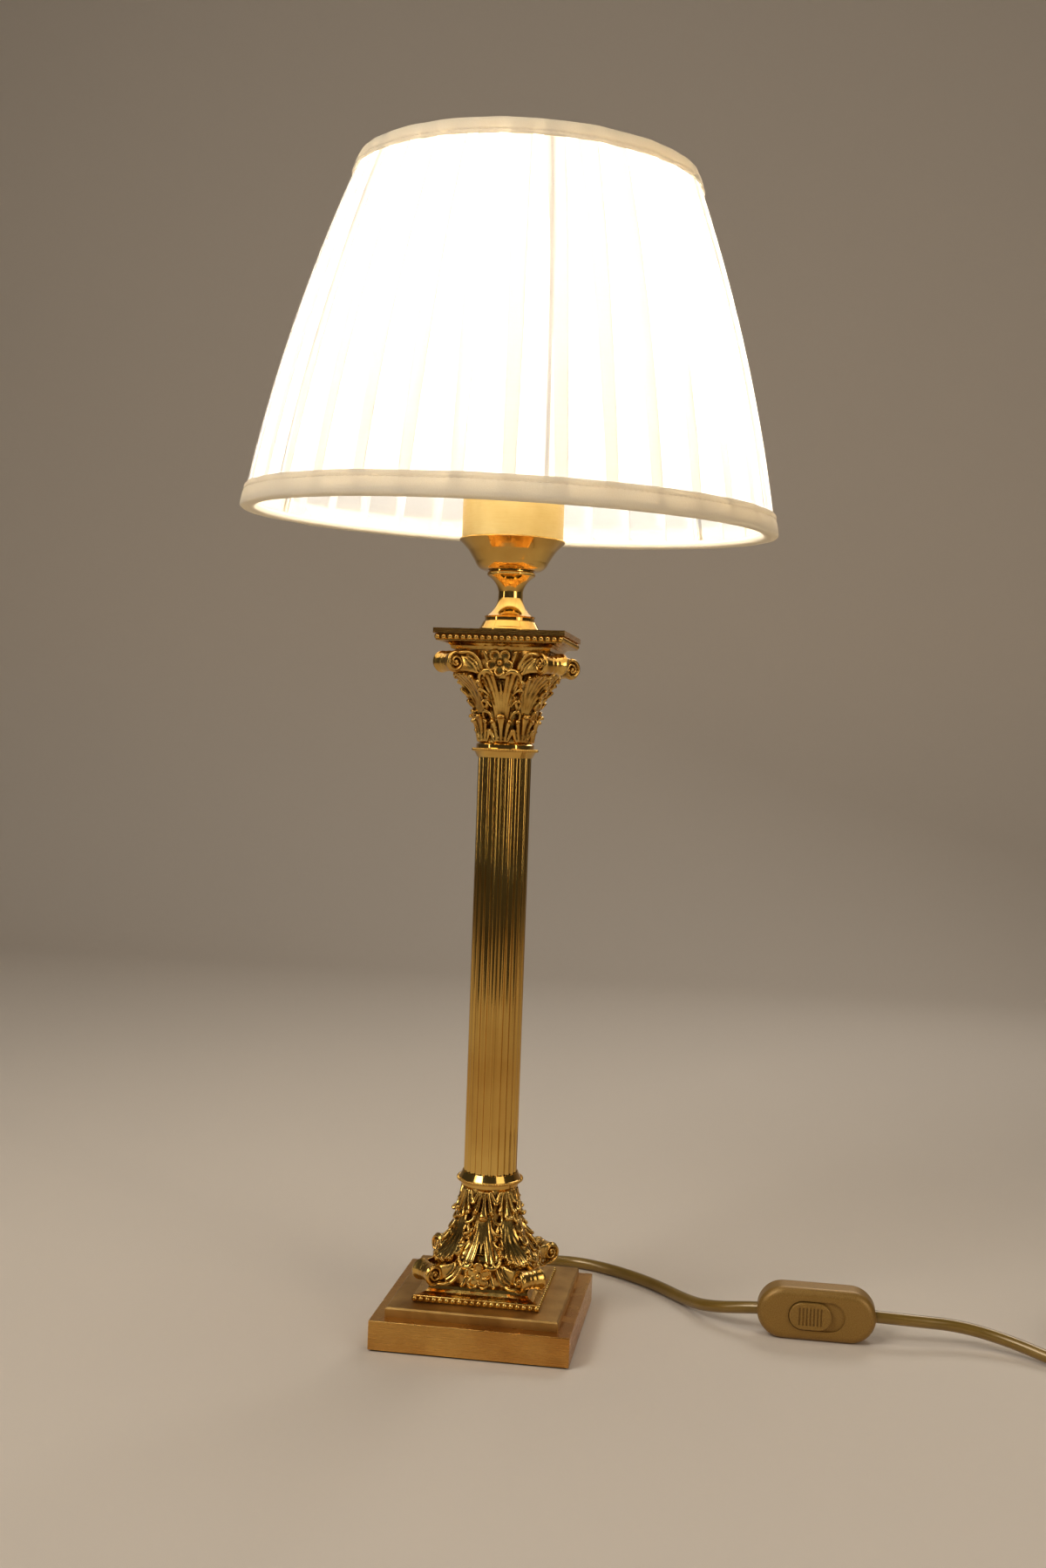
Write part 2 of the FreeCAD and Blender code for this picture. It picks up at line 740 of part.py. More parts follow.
def cup():
    z, top, rim = cup_floor, cup_top, CUP_RIM_R
    ledge = SLEEVE_R - SLEEVE_WALL
    return turned(
        (ROD_HOLE / 2, z),
        (CUP_FOOT_R, z),
        ((CUP_FOOT_R + 4.1, z + 1.2), (CUP_FOOT_R + 6.6, z + 4.6)),
        (CUP_FOOT_R + 10.2, z + 10.4),
        ((rim - 2.6, top - 3.1), (rim, top - 0.6)),
        (rim, top),
        (SLEEVE_R + CLEAR, top),
        (SLEEVE_R + CLEAR, sleeve_z),
        (ledge, sleeve_z),
        (ledge - 1.6, sleeve_z - 2.2),
        (CUP_FOOT_R + 8.9, z + 10.9),
        (CUP_FOOT_R + 5.3, z + 5.2),
        ((CUP_FOOT_R + 3.2, z + 2.2), (CUP_FOOT_R - 0.4, z + CUP_WALL)),
        (ROD_HOLE / 2, z + CUP_WALL),
    )


# ---------------------------------------------------------------- lampholder and bulb
def holder_cap():
    z = holder_z
    top = z + HOLDER_CAP_TALL
    r, w = HOLDER_CAP_R, HOLDER_WALL
    return turned(
        (ROD_D / 2 + 0.05, z),
        (r - 6, z),
        ((r - 1.8, z + 1.8), (r, z + 6)),
        (r, top - 2),
        (HOLDER_R, top - 1),
        (HOLDER_R, top),
        (r - w, top),
        (r - w, z + 6),
        ((r - w - 1.4, z + 3.6), (r - w - 4.6, z + w)),
        (ROD_D / 2 + 3, z + w),
        (ROD_D / 2 + 3, z + 7),
        (ROD_D / 2 + 0.05, z + 7),
    )


def holder_body():
    z, top = holder_body_z, shoulder_z + HOLDER_THREAD_TALL
    r, t, w = HOLDER_R, HOLDER_THREAD_R, HOLDER_WALL
    return turned(
        (r - w, z),
        (r, z),
        (r, shoulder_z),
        (t, shoulder_z),
        (t, top - 1),
        (t - 1, top),
        (t - w, top),
        (t - w, insert_z + INSERT_TALL),
        (t - w, z + 1),
        (r - w, z + 1),
    )


def terminal_insert():
    top = insert_z + INSERT_TALL
    r = HOLDER_THREAD_R - HOLDER_WALL - CLEAR
    block = disc(r, insert_z, top)
    pocket = Part.makeBox(9, 7, 7, Vector(-4.5, 6.5, insert_z - 1))
    block = block.cut(pocket).cut(pocket.mirror(ORIGIN, Vector(0, 1, 0)))
    return block.cut(disc(2.2, insert_z - 1, top + 1))


def screw_shell():
    floor = shell_z
    rim = floor + SHELL_TALL
    r, w = SHELL_R, SHELL_WALL
    return turned((6, floor), (r, floor), (r, rim), (r - w, rim), (r - w, floor + w), (6, floor + w))


def centre_contact():
    """A sprung tongue that rises from the insert to the bulb's tip."""
    z = shell_z
    tip = bulb_z
    underside = ((-5.0, z), (2.4, z), (2.4, z + 0.5), (-3.2, z + 0.5), (2.6, tip - 0.4))
    tongue = closed_face(*underside, (2.6, tip), (-0.6, tip), (-5.0, z + 0.8))
    tongue = tongue.extrude(Vector(0, 5, 0))
    tongue.translate(Vector(0, -2.5, 0))
    return tongue


def shade_ring_nut():
    """The ring nut that holds the shade down, with finger notches."""
    floor = shoulder_z + FITTER_THICK + 0.2
    top = floor + RING_NUT_TALL
    nut = turned(
        (HOLDER_THREAD_R + 0.05, floor),
        (RING_NUT_R, floor),
        (RING_NUT_R, top - 1),
        (RING_NUT_R - 1, top),
        (HOLDER_THREAD_R + 0.05, top),
    )
    notch = Part.makeCylinder(1.2, RING_NUT_TALL - 2, Vector(RING_NUT_R + 0.5, 0, floor + 1.5))
    return nut.cut(Part.makeCompound(around(notch, RING_NUT_NOTCHES)))


def bulb_cap():
    """The screw cap, its thread drawn as round ridges."""
    z = bulb_z + 2.4
    r = BULB_CAP_R - 0.5
    steps = [(r - 1.5, z), (r, z + 1.4)]
    low = z + 2.2
    for k in range(5):
        start = low + 3.63 * k
        steps.append((r - 0.4, start))
        steps.append(((BULB_CAP_R, start + 1.4), (r - 0.4, start + 2.8)))
    top = bulb_z + BULB_CAP_TALL
    steps += [(BULB_CAP_R - 0.2, low + 3.63 * 5), (BULB_CAP_R - 0.2, top), (BULB_CAP_R - 0.7, top)]
    return turned((BULB_TIP_R + 2.6, z), *steps, (BULB_CAP_R - 0.9, z + 3.0), (BULB_TIP_R + 2.6, z + 1.0))


def bulb_insulator():
    z = bulb_z + 1.0
    r = BULB_TIP_R + 2.6
    return turned((BULB_TIP_R, z + 0.2), (r, z + 1.4), (r, z + 3.0), (0, z + 3.0), (0, z + 0.2))


def bulb_tip():
    z, r = bulb_z, BULB_TIP_R
    return turned((0, z), (r - 2.4, z), (r - 0.9, z + 0.3), (r, z + 1.2), (0, z + 1.2))


def bulb_glass():
    """A pear-shaped bulb: a ball that runs down into the cap."""
    top = bulb_z + BULB_LONG
    centre = top - BULB_R
    low = bulb_z + BULB_CAP_TALL - 4.0
    w = BULB_GLASS_WALL
    neck_r = BULB_CAP_R - 1.0
    tilt = math.radians(24)

    def profile(inset):
        ball = BULB_R - inset
        side = Vector(ball * math.cos(tilt), 0, centre - ball * math.sin(tilt))
        high = math.radians(40)
        return [
            (neck_r - inset, low + inset),
            (neck_r - inset, low + 5.5),
            ((neck_r - inset + 4.4, low + 21.0), (side.x, side.z)),
            ((ball * math.cos(high), centre + ball * math.sin(high)), (0, top - inset)),
        ]

    outer = turned((0, low), *profile(0))
    inner = turned((0, low + w), *profile(w))
    return outer.cut(inner)


# ---------------------------------------------------------------- shade
def shade_r(z):
    """Radius of the pleated cloth at a height: a straight side plus an even bow."""
    share = (z - SHADE_FOOT_Z) / SHADE_TALL
    return SHADE_FOOT_R + (SHADE_HEAD_R - SHADE_FOOT_R) * share + SHADE_BOW * 4 * share * (1 - share)


def lean(shape):
    """Leans what stands square to the shade's own axis."""
    heading = math.radians(LEAN_HEADING)
    copy = shape.copy()
    copy.rotate(Vector(0, 0, LEAN_PIVOT_Z), Vector(-math.sin(heading), math.cos(heading), 0), SHADE_LEAN)
    return copy


def pleated_wire(z):
    """The cloth's outside at a height: each knife pleat rises slowly and steps back."""
    r = shade_r(z)
    points = []
    for k in range(PLEATS):
        start = 2 * math.pi * k / PLEATS
        for share, drop in ((0.0, PLEAT_STEP), (0.08, 0.0)):
            angle = start + share * 2 * math.pi / PLEATS
            points.append(Vector((r - drop) * math.cos(angle), (r - drop) * math.sin(angle), z))
    return Part.makePolygon(points + [points[0]])


def plain_wire(z, inset):
    r = shade_r(z) - inset
    points = [
        Vector(r * math.cos(2 * math.pi * k / PLEATS), r * math.sin(2 * math.pi * k / PLEATS), z)
        for k in range(PLEATS)
    ]
    return Part.makePolygon(points + [points[0]])


def shade_levels():
    low = SHADE_FOOT_Z + 4.6
    high = shade_head_z - 4.4
    return [low + (high - low) * k / SHADE_SPANS for k in range(SHADE_SPANS + 1)]


def shade_fabric():
    levels = shade_levels()
    outer = Part.makeLoft([pleated_wire(z) for z in levels], True, True)
    inner_levels = [levels[0] - 3] + levels[1:-1] + [levels[-1] + 3]
    inner = Part.makeLoft([plain_wire(z, PLEAT_STEP + SHADE_WALL) for z in inner_levels], True, True)
    return lean(outer.cut(inner))


def ring_r(z):
    """Radius of a frame wire at a height: inside the cloth."""
    return shade_r(z) - PLEAT_STEP - SHADE_WALL - STRUT_R - FRAME_GAP


def frame_rings():
    z_low, z_high = SHADE_FOOT_Z + TRIM_THICK + RING_WIRE_R, shade_head_z - TRIM_THICK - RING_WIRE_R
    low = Part.makeTorus(ring_r(z_low), RING_WIRE_R, Vector(0, 0, z_low))
    high = Part.makeTorus(ring_r(z_high), RING_WIRE_R, Vector(0, 0, z_high))
    return lean(low), lean(high), z_low, z_high


def struts(z_low, z_high, rings):
    """Bowed wires from the bottom ring to the top ring, following the cloth."""
    z_mid = (z_low + z_high) / 2
    ends = [Vector(ring_r(z), 0, z) for z in (z_low, z_mid, z_high)]
    path = Part.Wire(Part.Arc(*ends).toShape())
    first = path.Edges[0]
    section = Part.Wire(Part.Circle(ends[0], first.tangentAt(first.FirstParameter), STRUT_R).toShape())
    strut = path.makePipeShell([section], True, False)
    standing = [lean(s).cut(rings) for s in around(strut, STRUTS, STRUT_TURN)]
    return Part.makeCompound(standing)


def spider(z_low, rings):
    """The flat fitting ring and its three arms, welded to the bottom ring."""
    z = shoulder_z
    whole = ring(FITTER_HOLE_R, FITTER_R, z, z + FITTER_THICK)
    for heading in ARM_HEADINGS:
        a = math.radians(heading)
        out = Vector(math.cos(a), math.sin(a), 0)
        start = out * (FITTER_R - 1.5) + Vector(0, 0, z + FITTER_THICK / 2 + 0.5)
        end = out * (ring_r(z_low) - 0.8) + Vector(0, 0, z_low + 1.5)
        heading_lean = math.radians(LEAN_HEADING)
        turn = FreeCAD.Rotation(Vector(-math.sin(heading_lean), math.cos(heading_lean), 0), SHADE_LEAN)
        pivot = Vector(0, 0, LEAN_PIVOT_Z)
        end = turn.multVec(end - pivot) + pivot
        whole = whole.fuse(Part.makeCylinder(ARM_R, (end - start).Length, start, end - start))
    whole = whole.cut(disc(FITTER_HOLE_R, z - 5, z + 10))
    return whole.cut(rings)


def trim(z_edge, z_wire, z_far, sign):
    """A cloth band round the shade's end, folded over the wire. sign is 1 at the foot
    and -1 at the head: the direction from the edge towards the shade's middle."""
    r_wire = ring_r(z_wire)
    hold = RING_WIRE_R + CLEAR
    t = TRIM_THICK
    edge_r = shade_r(z_edge)
    far_r = shade_r(z_far)
    out = edge_r + t + 0.3
    face = closed_face(
        (r_wire - hold - t, z_wire),
        ((r_wire, z_wire - sign * (hold + t)), (out - 1.0, z_edge + sign * 1.0)),
        (out, z_edge + sign * 2.4),
        (far_r + t, z_far),
        (far_r + CLEAR, z_far),
        (shade_r(z_wire) + CLEAR, z_wire),
        (r_wire + hold, z_wire),
        ((r_wire, z_wire - sign * hold), (r_wire - hold, z_wire)),
    )
    return lean(face.revolve(ORIGIN, AXIS, 360))


# ---------------------------------------------------------------- cord and what is on it
def cord_gland():
    """A tapered sleeve in the plinth's back wall, with a flange each side of the wall."""
    wall_out = PLINTH_SIDE / 2
    wall_in = wall_out - PLINTH_WALL
    bore = CORD_D / 2 + 0.05
    tip = wall_out + GLAND_LONG
    profile = closed_face(
        (bore, wall_in - 3.0),
        (GLAND_R, wall_in - 3.0),
        (GLAND_R, wall_in),
        (GLAND_NECK_R, wall_in),
        (GLAND_NECK_R, wall_out),
        (GLAND_R, wall_out),
        (GLAND_R, wall_out + 2.0),
        (GLAND_TIP_R + 0.5, wall_out + 3.0),
        (GLAND_TIP_R, tip),
        (bore, tip),
    )
    gland = profile.revolve(ORIGIN, AXIS, 360)
    gland.rotate(ORIGIN, Vector(1, 0, 0), -90)
    gland.translate(Vector(0, 0, EXIT_Z))
    return gland


def inner_flex():
    """The flexible lead inside: under the weight, round into the rod and up to the holder."""
    low = PLINTH_TOP - PLINTH_WALL - WEIGHT_WEB - WASHER_THICK - NUT_THICK - 3.2
    back = PLINTH_SIDE / 2
    top = insert_z - 4
    route = [(0, back, EXIT_Z), (0, back - 16, EXIT_Z), (0, back - 32, low), (0, 0, low), (0, 0, top)]
    wire, _ = tube_path(route, FLEX_BEND)
    return tube(wire, FLEX_D, "inner_flex")


def coil_point(turn):
    """The coil's centreline and heading after so many turns, from its outermost point."""
    turns_in, climb = COIL_TURNS_IN, 0.5
    layer = CORD_D / 2 + 0.05

    def place(t):
        if t < turns_in:
            r, z = COIL_R - COIL_STEP * t, 0.0
        elif t < turns_in + climb:
            share = (t - turns_in) / climb
            r = COIL_R - COIL_STEP * turns_in - COIL_DIP * math.sin(math.pi * share) ** 2
            z = COIL_STEP * (1 - math.cos(math.pi * share)) / 2
        else:
            r, z = COIL_R - COIL_STEP * (turns_in - (t - turns_in - climb)), COIL_STEP
        a = 2 * math.pi * t - math.pi / 2
        return Vector(COIL_AT[0] + r * math.cos(a), COIL_AT[1] + r * math.sin(a), layer + z)

    tiny = 1e-4
    heading = (place(turn + tiny) - place(turn - tiny)).normalize()
    return place(turn), heading


def coil_ends():
    """Where the cord runs straight into the coil and out of it."""
    first, _ = coil_point(0.0)
    last, _ = coil_point(COIL_TURNS_IN + 0.5 + COIL_TURNS_OUT)
    return first - Vector(CORD_D, 0, 0), last + Vector(0, CORD_D, 0)


def coil():
    """The put-away length: three turns spiral in, one half turn climbs, and the rest spiral out."""
    total = COIL_TURNS_IN + 0.5 + COIL_TURNS_OUT
    steps = round(total * 4)
    stops = [coil_point(total * k / steps) for k in range(steps + 1)]
    first_p, _ = stops[0]
    last_p, _ = stops[-1]
    stops[0] = (first_p, Vector(1, 0, 0))
    stops[-1] = (last_p, Vector(0, 1, 0))
    start, end = coil_ends()
    edges = [Part.LineSegment(start, first_p).toShape()]
    for (p0, t0), (p1, t1) in zip(stops, stops[1:]):
        edges += biarc(p0, t0, p1, t1)
    edges.append(Part.LineSegment(last_p, end).toShape())
    wire = Part.Wire(edges)
    samples = wire.discretize(600)
    gap = wire.Length
    reach = round(3 * CORD_D * len(samples) / wire.Length)
    for i, p in enumerate(samples):
        for q in samples[i + reach:]:
            gap = min(gap, (p - q).Length)
    print("coil: least gap to itself", round(gap - CORD_D, 2), "ends at", end)
    return tube(wire, CORD_D, "cord_coil")


def at_switch(shape):
    """Moves a piece drawn round the origin, front towards -Y, to where the switch stands."""
    copy = shape.copy()
    copy.translate(Vector(SWITCH_AT[0], SWITCH_AT[1], SWITCH_TALL / 2))
    return copy


def cord_hole(end, towards):
    """A hole through the switch's wall along the cord's own last run, in the switch's frame."""
    start = Vector(*end) - Vector(SWITCH_AT[0], SWITCH_AT[1], SWITCH_TALL / 2)
    return Part.makeCylinder(CORD_D / 2 + 0.05, 16, start, Vector(*towards) - Vector(*end))


def switch_halves():
    """Two shells that meet in the middle plane, with a track for the slider in the front one."""
    half_deep = SWITCH_DEEP / 2
    block = stadium(SWITCH_LONG, SWITCH_TALL).extrude(Vector(0, SWITCH_DEEP, 0))
    block.translate(Vector(0, -half_deep, 0))
    rims = [e for e in block.Edges if abs(e.BoundBox.YMin - e.BoundBox.YMax) < 0.01]
    block = block.makeFillet(SWITCH_EDGE, rims)
    wall = 2.0
    hollow = stadium(SWITCH_LONG - 2 * wall, SWITCH_TALL - 2 * wall)
    hollow = hollow.extrude(Vector(0, SWITCH_DEEP - 2 * wall - 2, 0))
    hollow.translate(Vector(0, -half_deep + wall + 2, 0))
    lamp_hole = cord_hole(LAMP_SIDE_ROUTE[-1], LAMP_SIDE_ROUTE[-2])
    mains_hole = cord_hole(MAINS_SIDE_ROUTE[0], MAINS_SIDE_ROUTE[1])
    track = stadium(TRACK_LONG, TRACK_TALL).extrude(Vector(0, TRACK_DEEP, 0))
    track.translate(Vector(0, -half_deep, 0))
    slot_long = STEM_LONG + SLIDER_TRAVEL + 2 * RUN_GAP
    slot_tall = STEM_TALL + 2 * RUN_GAP
    slot = Part.makeBox(slot_long, 8, slot_tall, Vector(-slot_long / 2, -half_deep - 1, -slot_tall / 2))
    body = block.cut([hollow, lamp_hole, mains_hole, track, slot])
    big = 2 * SWITCH_LONG
    front_half = Part.makeBox(big, big, big, Vector(-big / 2, -big, -big / 2))
    front = body.common(front_half)
    back = body.cut(front_half)
    for x in (-SWITCH_LONG / 2 + 9, SWITCH_LONG / 2 - 9):
        for z in (-1, 1):
            start = Vector(x, half_deep - 3.2, z * 7.6)
            back = back.cut(Part.makeCylinder(SCREW_R + CLEAR, 4, start, Vector(0, 1, 0)))
    return at_switch(front), at_switch(back)


def switch_screws():
    """Countersunk screws in the back shell."""
    heads = []
    for x in (-SWITCH_LONG / 2 + 9, SWITCH_LONG / 2 - 9):
        for z in (-1, 1):
            start = Vector(x, SWITCH_DEEP / 2 - 3.0, z * 7.6)
            shank = Part.makeCylinder(SCREW_R, 2.6, start, Vector(0, 1, 0))
            cross = Part.makeBox(2.2, 0.6, 0.5, Vector(x - 1.1, SWITCH_DEEP / 2 - 0.9, z * 7.6 - 0.25))
            heads.append(at_switch(shank.cut(cross)))
    return Part.makeCompound(heads)


def switch_slider():
    """The ribbed oval button at the lamp end of its track, with its stem."""
    floor = -SWITCH_DEEP / 2 + TRACK_DEEP - RUN_GAP
    front = -SWITCH_DEEP / 2 - SLIDER_PROUD
    button = stadium(SLIDER_LONG, SLIDER_TALL).extrude(Vector(0, floor - front, 0))
    button.translate(Vector(0, front, 0))
    rim = [e for e in button.Edges if e.BoundBox.YMax < front + 0.01]
    button = button.makeFillet(0.7, rim)
    pitch = 1.9
    for k in range(SLIDER_RIBS):
        x = (k - (SLIDER_RIBS - 1) / 2) * pitch
        tall = SLIDER_TALL - 5.2
        button = button.cut(Part.makeBox(0.9, 0.8, tall, Vector(x - 0.45, front - 0.1, -tall / 2)))
    stem = Part.makeBox(STEM_LONG, 6.5, STEM_TALL, Vector(-STEM_LONG / 2, floor, -STEM_TALL / 2))
    whole = button.fuse(stem)
    whole.translate(Vector(-SLIDER_TRAVEL / 2, 0, 0))
    return at_switch(whole)


def switch_contacts():
    """Two brass strips with terminal blocks, fixed in the back shell."""
    strips = []
    for z in (-6.0, 6.0):
        strip = Part.makeBox(30, 1.0, 3.0, Vector(-15, 4.6, z - 1.5))
        block = Part.makeBox(6, 3.6, 5.0, Vector(-15, 1.0, z - 2.5))
        end_block = block.copy()
        end_block.translate(Vector(24, 0, 0))
        strips.append(at_switch(strip.fuse([block, end_block])))
    return Part.makeCompound(strips)


def plug():
    """A flat two-pin plug lying on the table past the coil, its pins towards +Y."""
    x, y, z = TAIL_ROUTE[-1]
    wide, back = PLUG_WIDE / 2, PLUG_BACK_WIDE / 2
    start = y + PLUG_RELIEF
    end = start + PLUG_LONG
    waist = start + PLUG_LONG * 0.36
    shoulder = start + PLUG_LONG * 0.62
    outline = [
        Part.LineSegment(Vector(-back, start, 0), Vector(back, start, 0)),
        Part.Arc(Vector(back, start, 0), Vector(back + 2.2, waist, 0), Vector(wide, shoulder, 0)),
        Part.LineSegment(Vector(wide, shoulder, 0), Vector(wide, end, 0)),
        Part.LineSegment(Vector(wide, end, 0), Vector(-wide, end, 0)),
        Part.LineSegment(Vector(-wide, end, 0), Vector(-wide, shoulder, 0)),
        Part.Arc(Vector(-wide, shoulder, 0), Vector(-back - 2.2, waist, 0), Vector(-back, start, 0)),
    ]
    face = Part.Face(Part.Wire([piece.toShape() for piece in outline]))
    body = face.extrude(Vector(0, 0, PLUG_THICK))
    body.translate(Vector(0, 0, -PLUG_THICK / 2))
    flat_edges = [e for e in body.Edges if abs(e.BoundBox.ZMax - e.BoundBox.ZMin) < 0.01]
    long_edges = [e for e in flat_edges if e.BoundBox.YMax < end - 0.01]
    body = body.makeFillet(2.4, long_edges)
    relief = Part.makeCone(CORD_D / 2 + 0.8, 5.0, PLUG_RELIEF + 1, Vector(0, y, 0), Vector(0, 1, 0))
    for k in range(3):
        groove = ring(CORD_D / 2 + 0.5, 9, 0, 1.2)
        groove.rotate(ORIGIN, Vector(1, 0, 0), -90)
        groove.translate(Vector(0, y + 3.0 + 3.4 * k, 0))
        relief = relief.cut(groove)
    body = body.fuse(relief)
    pins = []
    for side in (-1, 1):
        pin = Part.makeCylinder(PIN_R, PIN_LONG, Vector(side * PIN_SPACING / 2, end, 0), Vector(0, 1, 0))
        tip = [e for e in pin.Edges if e.BoundBox.YMin > end + PIN_LONG - 0.01]
        pins.append(pin.makeChamfer(0.8, tip))
    for shape in [body] + pins:
        shape.translate(Vector(x, 0, z))
    return body, Part.makeCompound(pins)


# ---------------------------------------------------------------- the whole lamp
def main():
    write("base_felt", slab(FELT_SIDE, 0, FELT_THICK))
    inside = PLINTH_SIDE - 2 * PLINTH_WALL - 2 * CLEAR
    write("bottom_plate", slab(inside, plinth_floor, plinth_floor + BOTTOM_PLATE_THICK))
    write("base_shell", base_shell())
    write("base_weight", base_weight())
    write("step_plate", step_plate())
    write("threaded_rod", ring(ROD_BORE / 2, ROD_D / 2, ROD_START, rod_top))
    washer_top = PLINTH_TOP - PLINTH_WALL - WEIGHT_WEB
    write("base_washer", ring(ROD_HOLE / 2, WASHER_D / 2, washer_top - WASHER_THICK, washer_top))
    nut_z = washer_top - WASHER_THICK - NUT_THICK
    write("base_nut", hex_nut(NUT_FLATS, NUT_THICK, nut_z, ROD_D + 0.1))

    cast = casting()
    write("foot_casting", flipped(cast, lower_collar_z))
    write("capital_casting", raised(cast, upper_collar_top))
    write("lower_collar", raised(collar(), lower_collar_z))
    write("upper_collar", flipped(collar(), upper_collar_top))
    write("column_tube", column_tube())
    write("top_plate", slab(TOP_PLATE_SIDE, capital_top, neck_floor).cut(disc(ROD_HOLE / 2, 0, 900)))
    write("neck", neck())
    write("cup", cup())
    write("socket_sleeve", ring(SLEEVE_R - SLEEVE_WALL, SLEEVE_R, sleeve_z, sleeve_z + SLEEVE_TALL))
    write("cup_nut", hex_nut(NUT_FLATS, NUT_THICK, cup_nut_z, ROD_D + 0.1))

    write("holder_cap", holder_cap())
    write("holder_body", holder_body())
    write("terminal_insert", terminal_insert())
    write("screw_shell", screw_shell())
    write("centre_contact", centre_contact())
    write("shade_ring_nut", shade_ring_nut())
    write("bulb_cap", bulb_cap())
    write("bulb_insulator", bulb_insulator())
    write("bulb_tip", bulb_tip())
    write("bulb_glass", bulb_glass())

    low_ring, high_ring, z_low, z_high = frame_rings()
    rings = Part.makeCompound([low_ring, high_ring])
    write("shade_bottom_ring", low_ring)
    write("shade_top_ring", high_ring)
    write("shade_struts", struts(z_low, z_high, rings))
    write("shade_spider", spider(z_low, rings))
    write("shade_fabric", shade_fabric())
    write("shade_bottom_trim", trim(SHADE_FOOT_Z, z_low, SHADE_FOOT_Z + BOTTOM_TRIM_TALL, 1))
    write("shade_top_trim", trim(shade_head_z, z_high, shade_head_z - TOP_TRIM_TALL, -1))

    write("cord_gland", cord_gland())
    write("inner_flex", inner_flex())
    coil_start, coil_end = coil_ends()
    for name, route in (
        ("cord_lamp_side", LAMP_SIDE_ROUTE),
        ("cord_mains_side", MAINS_SIDE_ROUTE + [tuple(coil_start)]),
        ("cord_tail", [tuple(coil_end), tuple(coil_end + Vector(0, TAIL_START, 0))] + TAIL_ROUTE),
    ):
        wire, radii = tube_path(route)
        print(name, "radii", radii)
        write(name, tube(wire, CORD_D, name))
    write("cord_coil", coil())
    front, back = switch_halves()
    write("switch_front", front)
    write("switch_back", back)
    write("switch_slider", switch_slider())
    write("switch_screws", switch_screws())
    write("switch_contacts", switch_contacts())
    body, pins = plug()
    write("plug_body", body)
    write("plug_pins", pins)


main()
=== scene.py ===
# %% [markdown]
# # A column table lamp in brass, with a lit pleated shade
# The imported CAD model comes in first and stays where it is. It gives the sizes, and
# every piece made here sits on it. Blender works in metres, +Z is up, and the origin is
# on the table under the column. Shapes are drawn in millimetres, and scaled where their
# mesh is made.

# %% Load the frame
import math

import bmesh
import bpy
import numpy as np
from mathutils import Matrix, Vector


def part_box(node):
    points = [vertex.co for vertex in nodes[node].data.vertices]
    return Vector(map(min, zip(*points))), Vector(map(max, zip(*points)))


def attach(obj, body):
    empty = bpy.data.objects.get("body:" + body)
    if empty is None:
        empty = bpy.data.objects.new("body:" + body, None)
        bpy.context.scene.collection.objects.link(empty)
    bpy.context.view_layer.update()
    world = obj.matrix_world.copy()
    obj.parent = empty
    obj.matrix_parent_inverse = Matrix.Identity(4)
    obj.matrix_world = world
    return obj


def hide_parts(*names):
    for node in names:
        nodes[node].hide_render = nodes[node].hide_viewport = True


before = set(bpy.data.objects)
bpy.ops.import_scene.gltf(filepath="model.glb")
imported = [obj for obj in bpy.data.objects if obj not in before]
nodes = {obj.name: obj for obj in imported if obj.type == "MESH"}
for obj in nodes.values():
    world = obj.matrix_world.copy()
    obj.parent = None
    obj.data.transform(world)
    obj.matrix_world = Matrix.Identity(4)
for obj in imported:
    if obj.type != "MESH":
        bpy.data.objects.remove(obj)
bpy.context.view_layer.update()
MM = 0.001

# %% [markdown]
# ## Walls of points
# Most pieces here are walls: rows of points that run round or along a piece, with a
# four-cornered face between each pair of rows. Modifiers could make them too, but rows
# that are written out keep every edge where it was drawn.


# %% Helpers for objects and meshes
def put(name, data):
    """A new object in the scene, holding this mesh, curve, lamp or camera."""
    thing = bpy.data.objects.new(name, data)
    bpy.context.scene.collection.objects.link(thing)
    return thing


def walls(rows, around, start=0, closed=False):
    """Faces between rows of points that run round. closed joins the last row to the first."""
    faces = []
    for k in range(rows if closed else rows - 1):
        low, high = start + k * around, start + (k + 1) % rows * around
        for j in range(around):
            i = (j + 1) % around
            faces.append((low + j, low + i, high + i, high + j))
    return faces


def caps(rows, around, start=0):
    """The two end faces of a wall that isn't closed."""
    last = start + (rows - 1) * around
    return [tuple(range(start + around - 1, start - 1, -1)), tuple(range(last, last + around))]


def new_mesh(name, verts, faces, smooth=()):
    """A mesh with smooth faces, or with those smooth that the flags say."""
    mesh = bpy.data.meshes.new(name)
    mesh.from_pydata(verts, [], faces)
    mesh.polygons.foreach_set("use_smooth", smooth or [True] * len(faces))
    return mesh


# %% [markdown]
# ## The view
# The photograph was taken from a little above the plinth, close to the lamp, so the
# verticals stay nearly upright and the plinth shows its top. The camera's place and
# turn come from the plinth's corners and the column's axis. A short lens so near makes
# the shade loom, which a long lens far away would not.

# %% Camera
CAMERA_AT = Vector((0.1422, -0.8622, 0.3141))
CAMERA_RIGHT = Vector((0.98774, 0.15201, 0.03568))
CAMERA_UP = Vector((-0.03907, 0.01940, 0.99905))
LENS_MM, SENSOR_MM = 37.57, 36.0    # the sensor lies along the photograph's long side

camera_data = bpy.data.cameras.new("camera")
camera_data.lens = LENS_MM
camera_data.sensor_width = SENSOR_MM
camera = put("camera", camera_data)
camera_back = CAMERA_RIGHT.cross(CAMERA_UP).normalized()
camera_right = CAMERA_UP.cross(camera_back).normalized()
camera_axes = Matrix((camera_right, camera_back.cross(camera_right), camera_back)).transposed()
camera.matrix_world = Matrix.Translation(CAMERA_AT) @ camera_axes.to_4x4()
bpy.context.scene.camera = camera
bpy.context.scene.view_settings.view_transform = "Standard"
print("camera looks along", tuple(round(-x, 3) for x in camera_back))

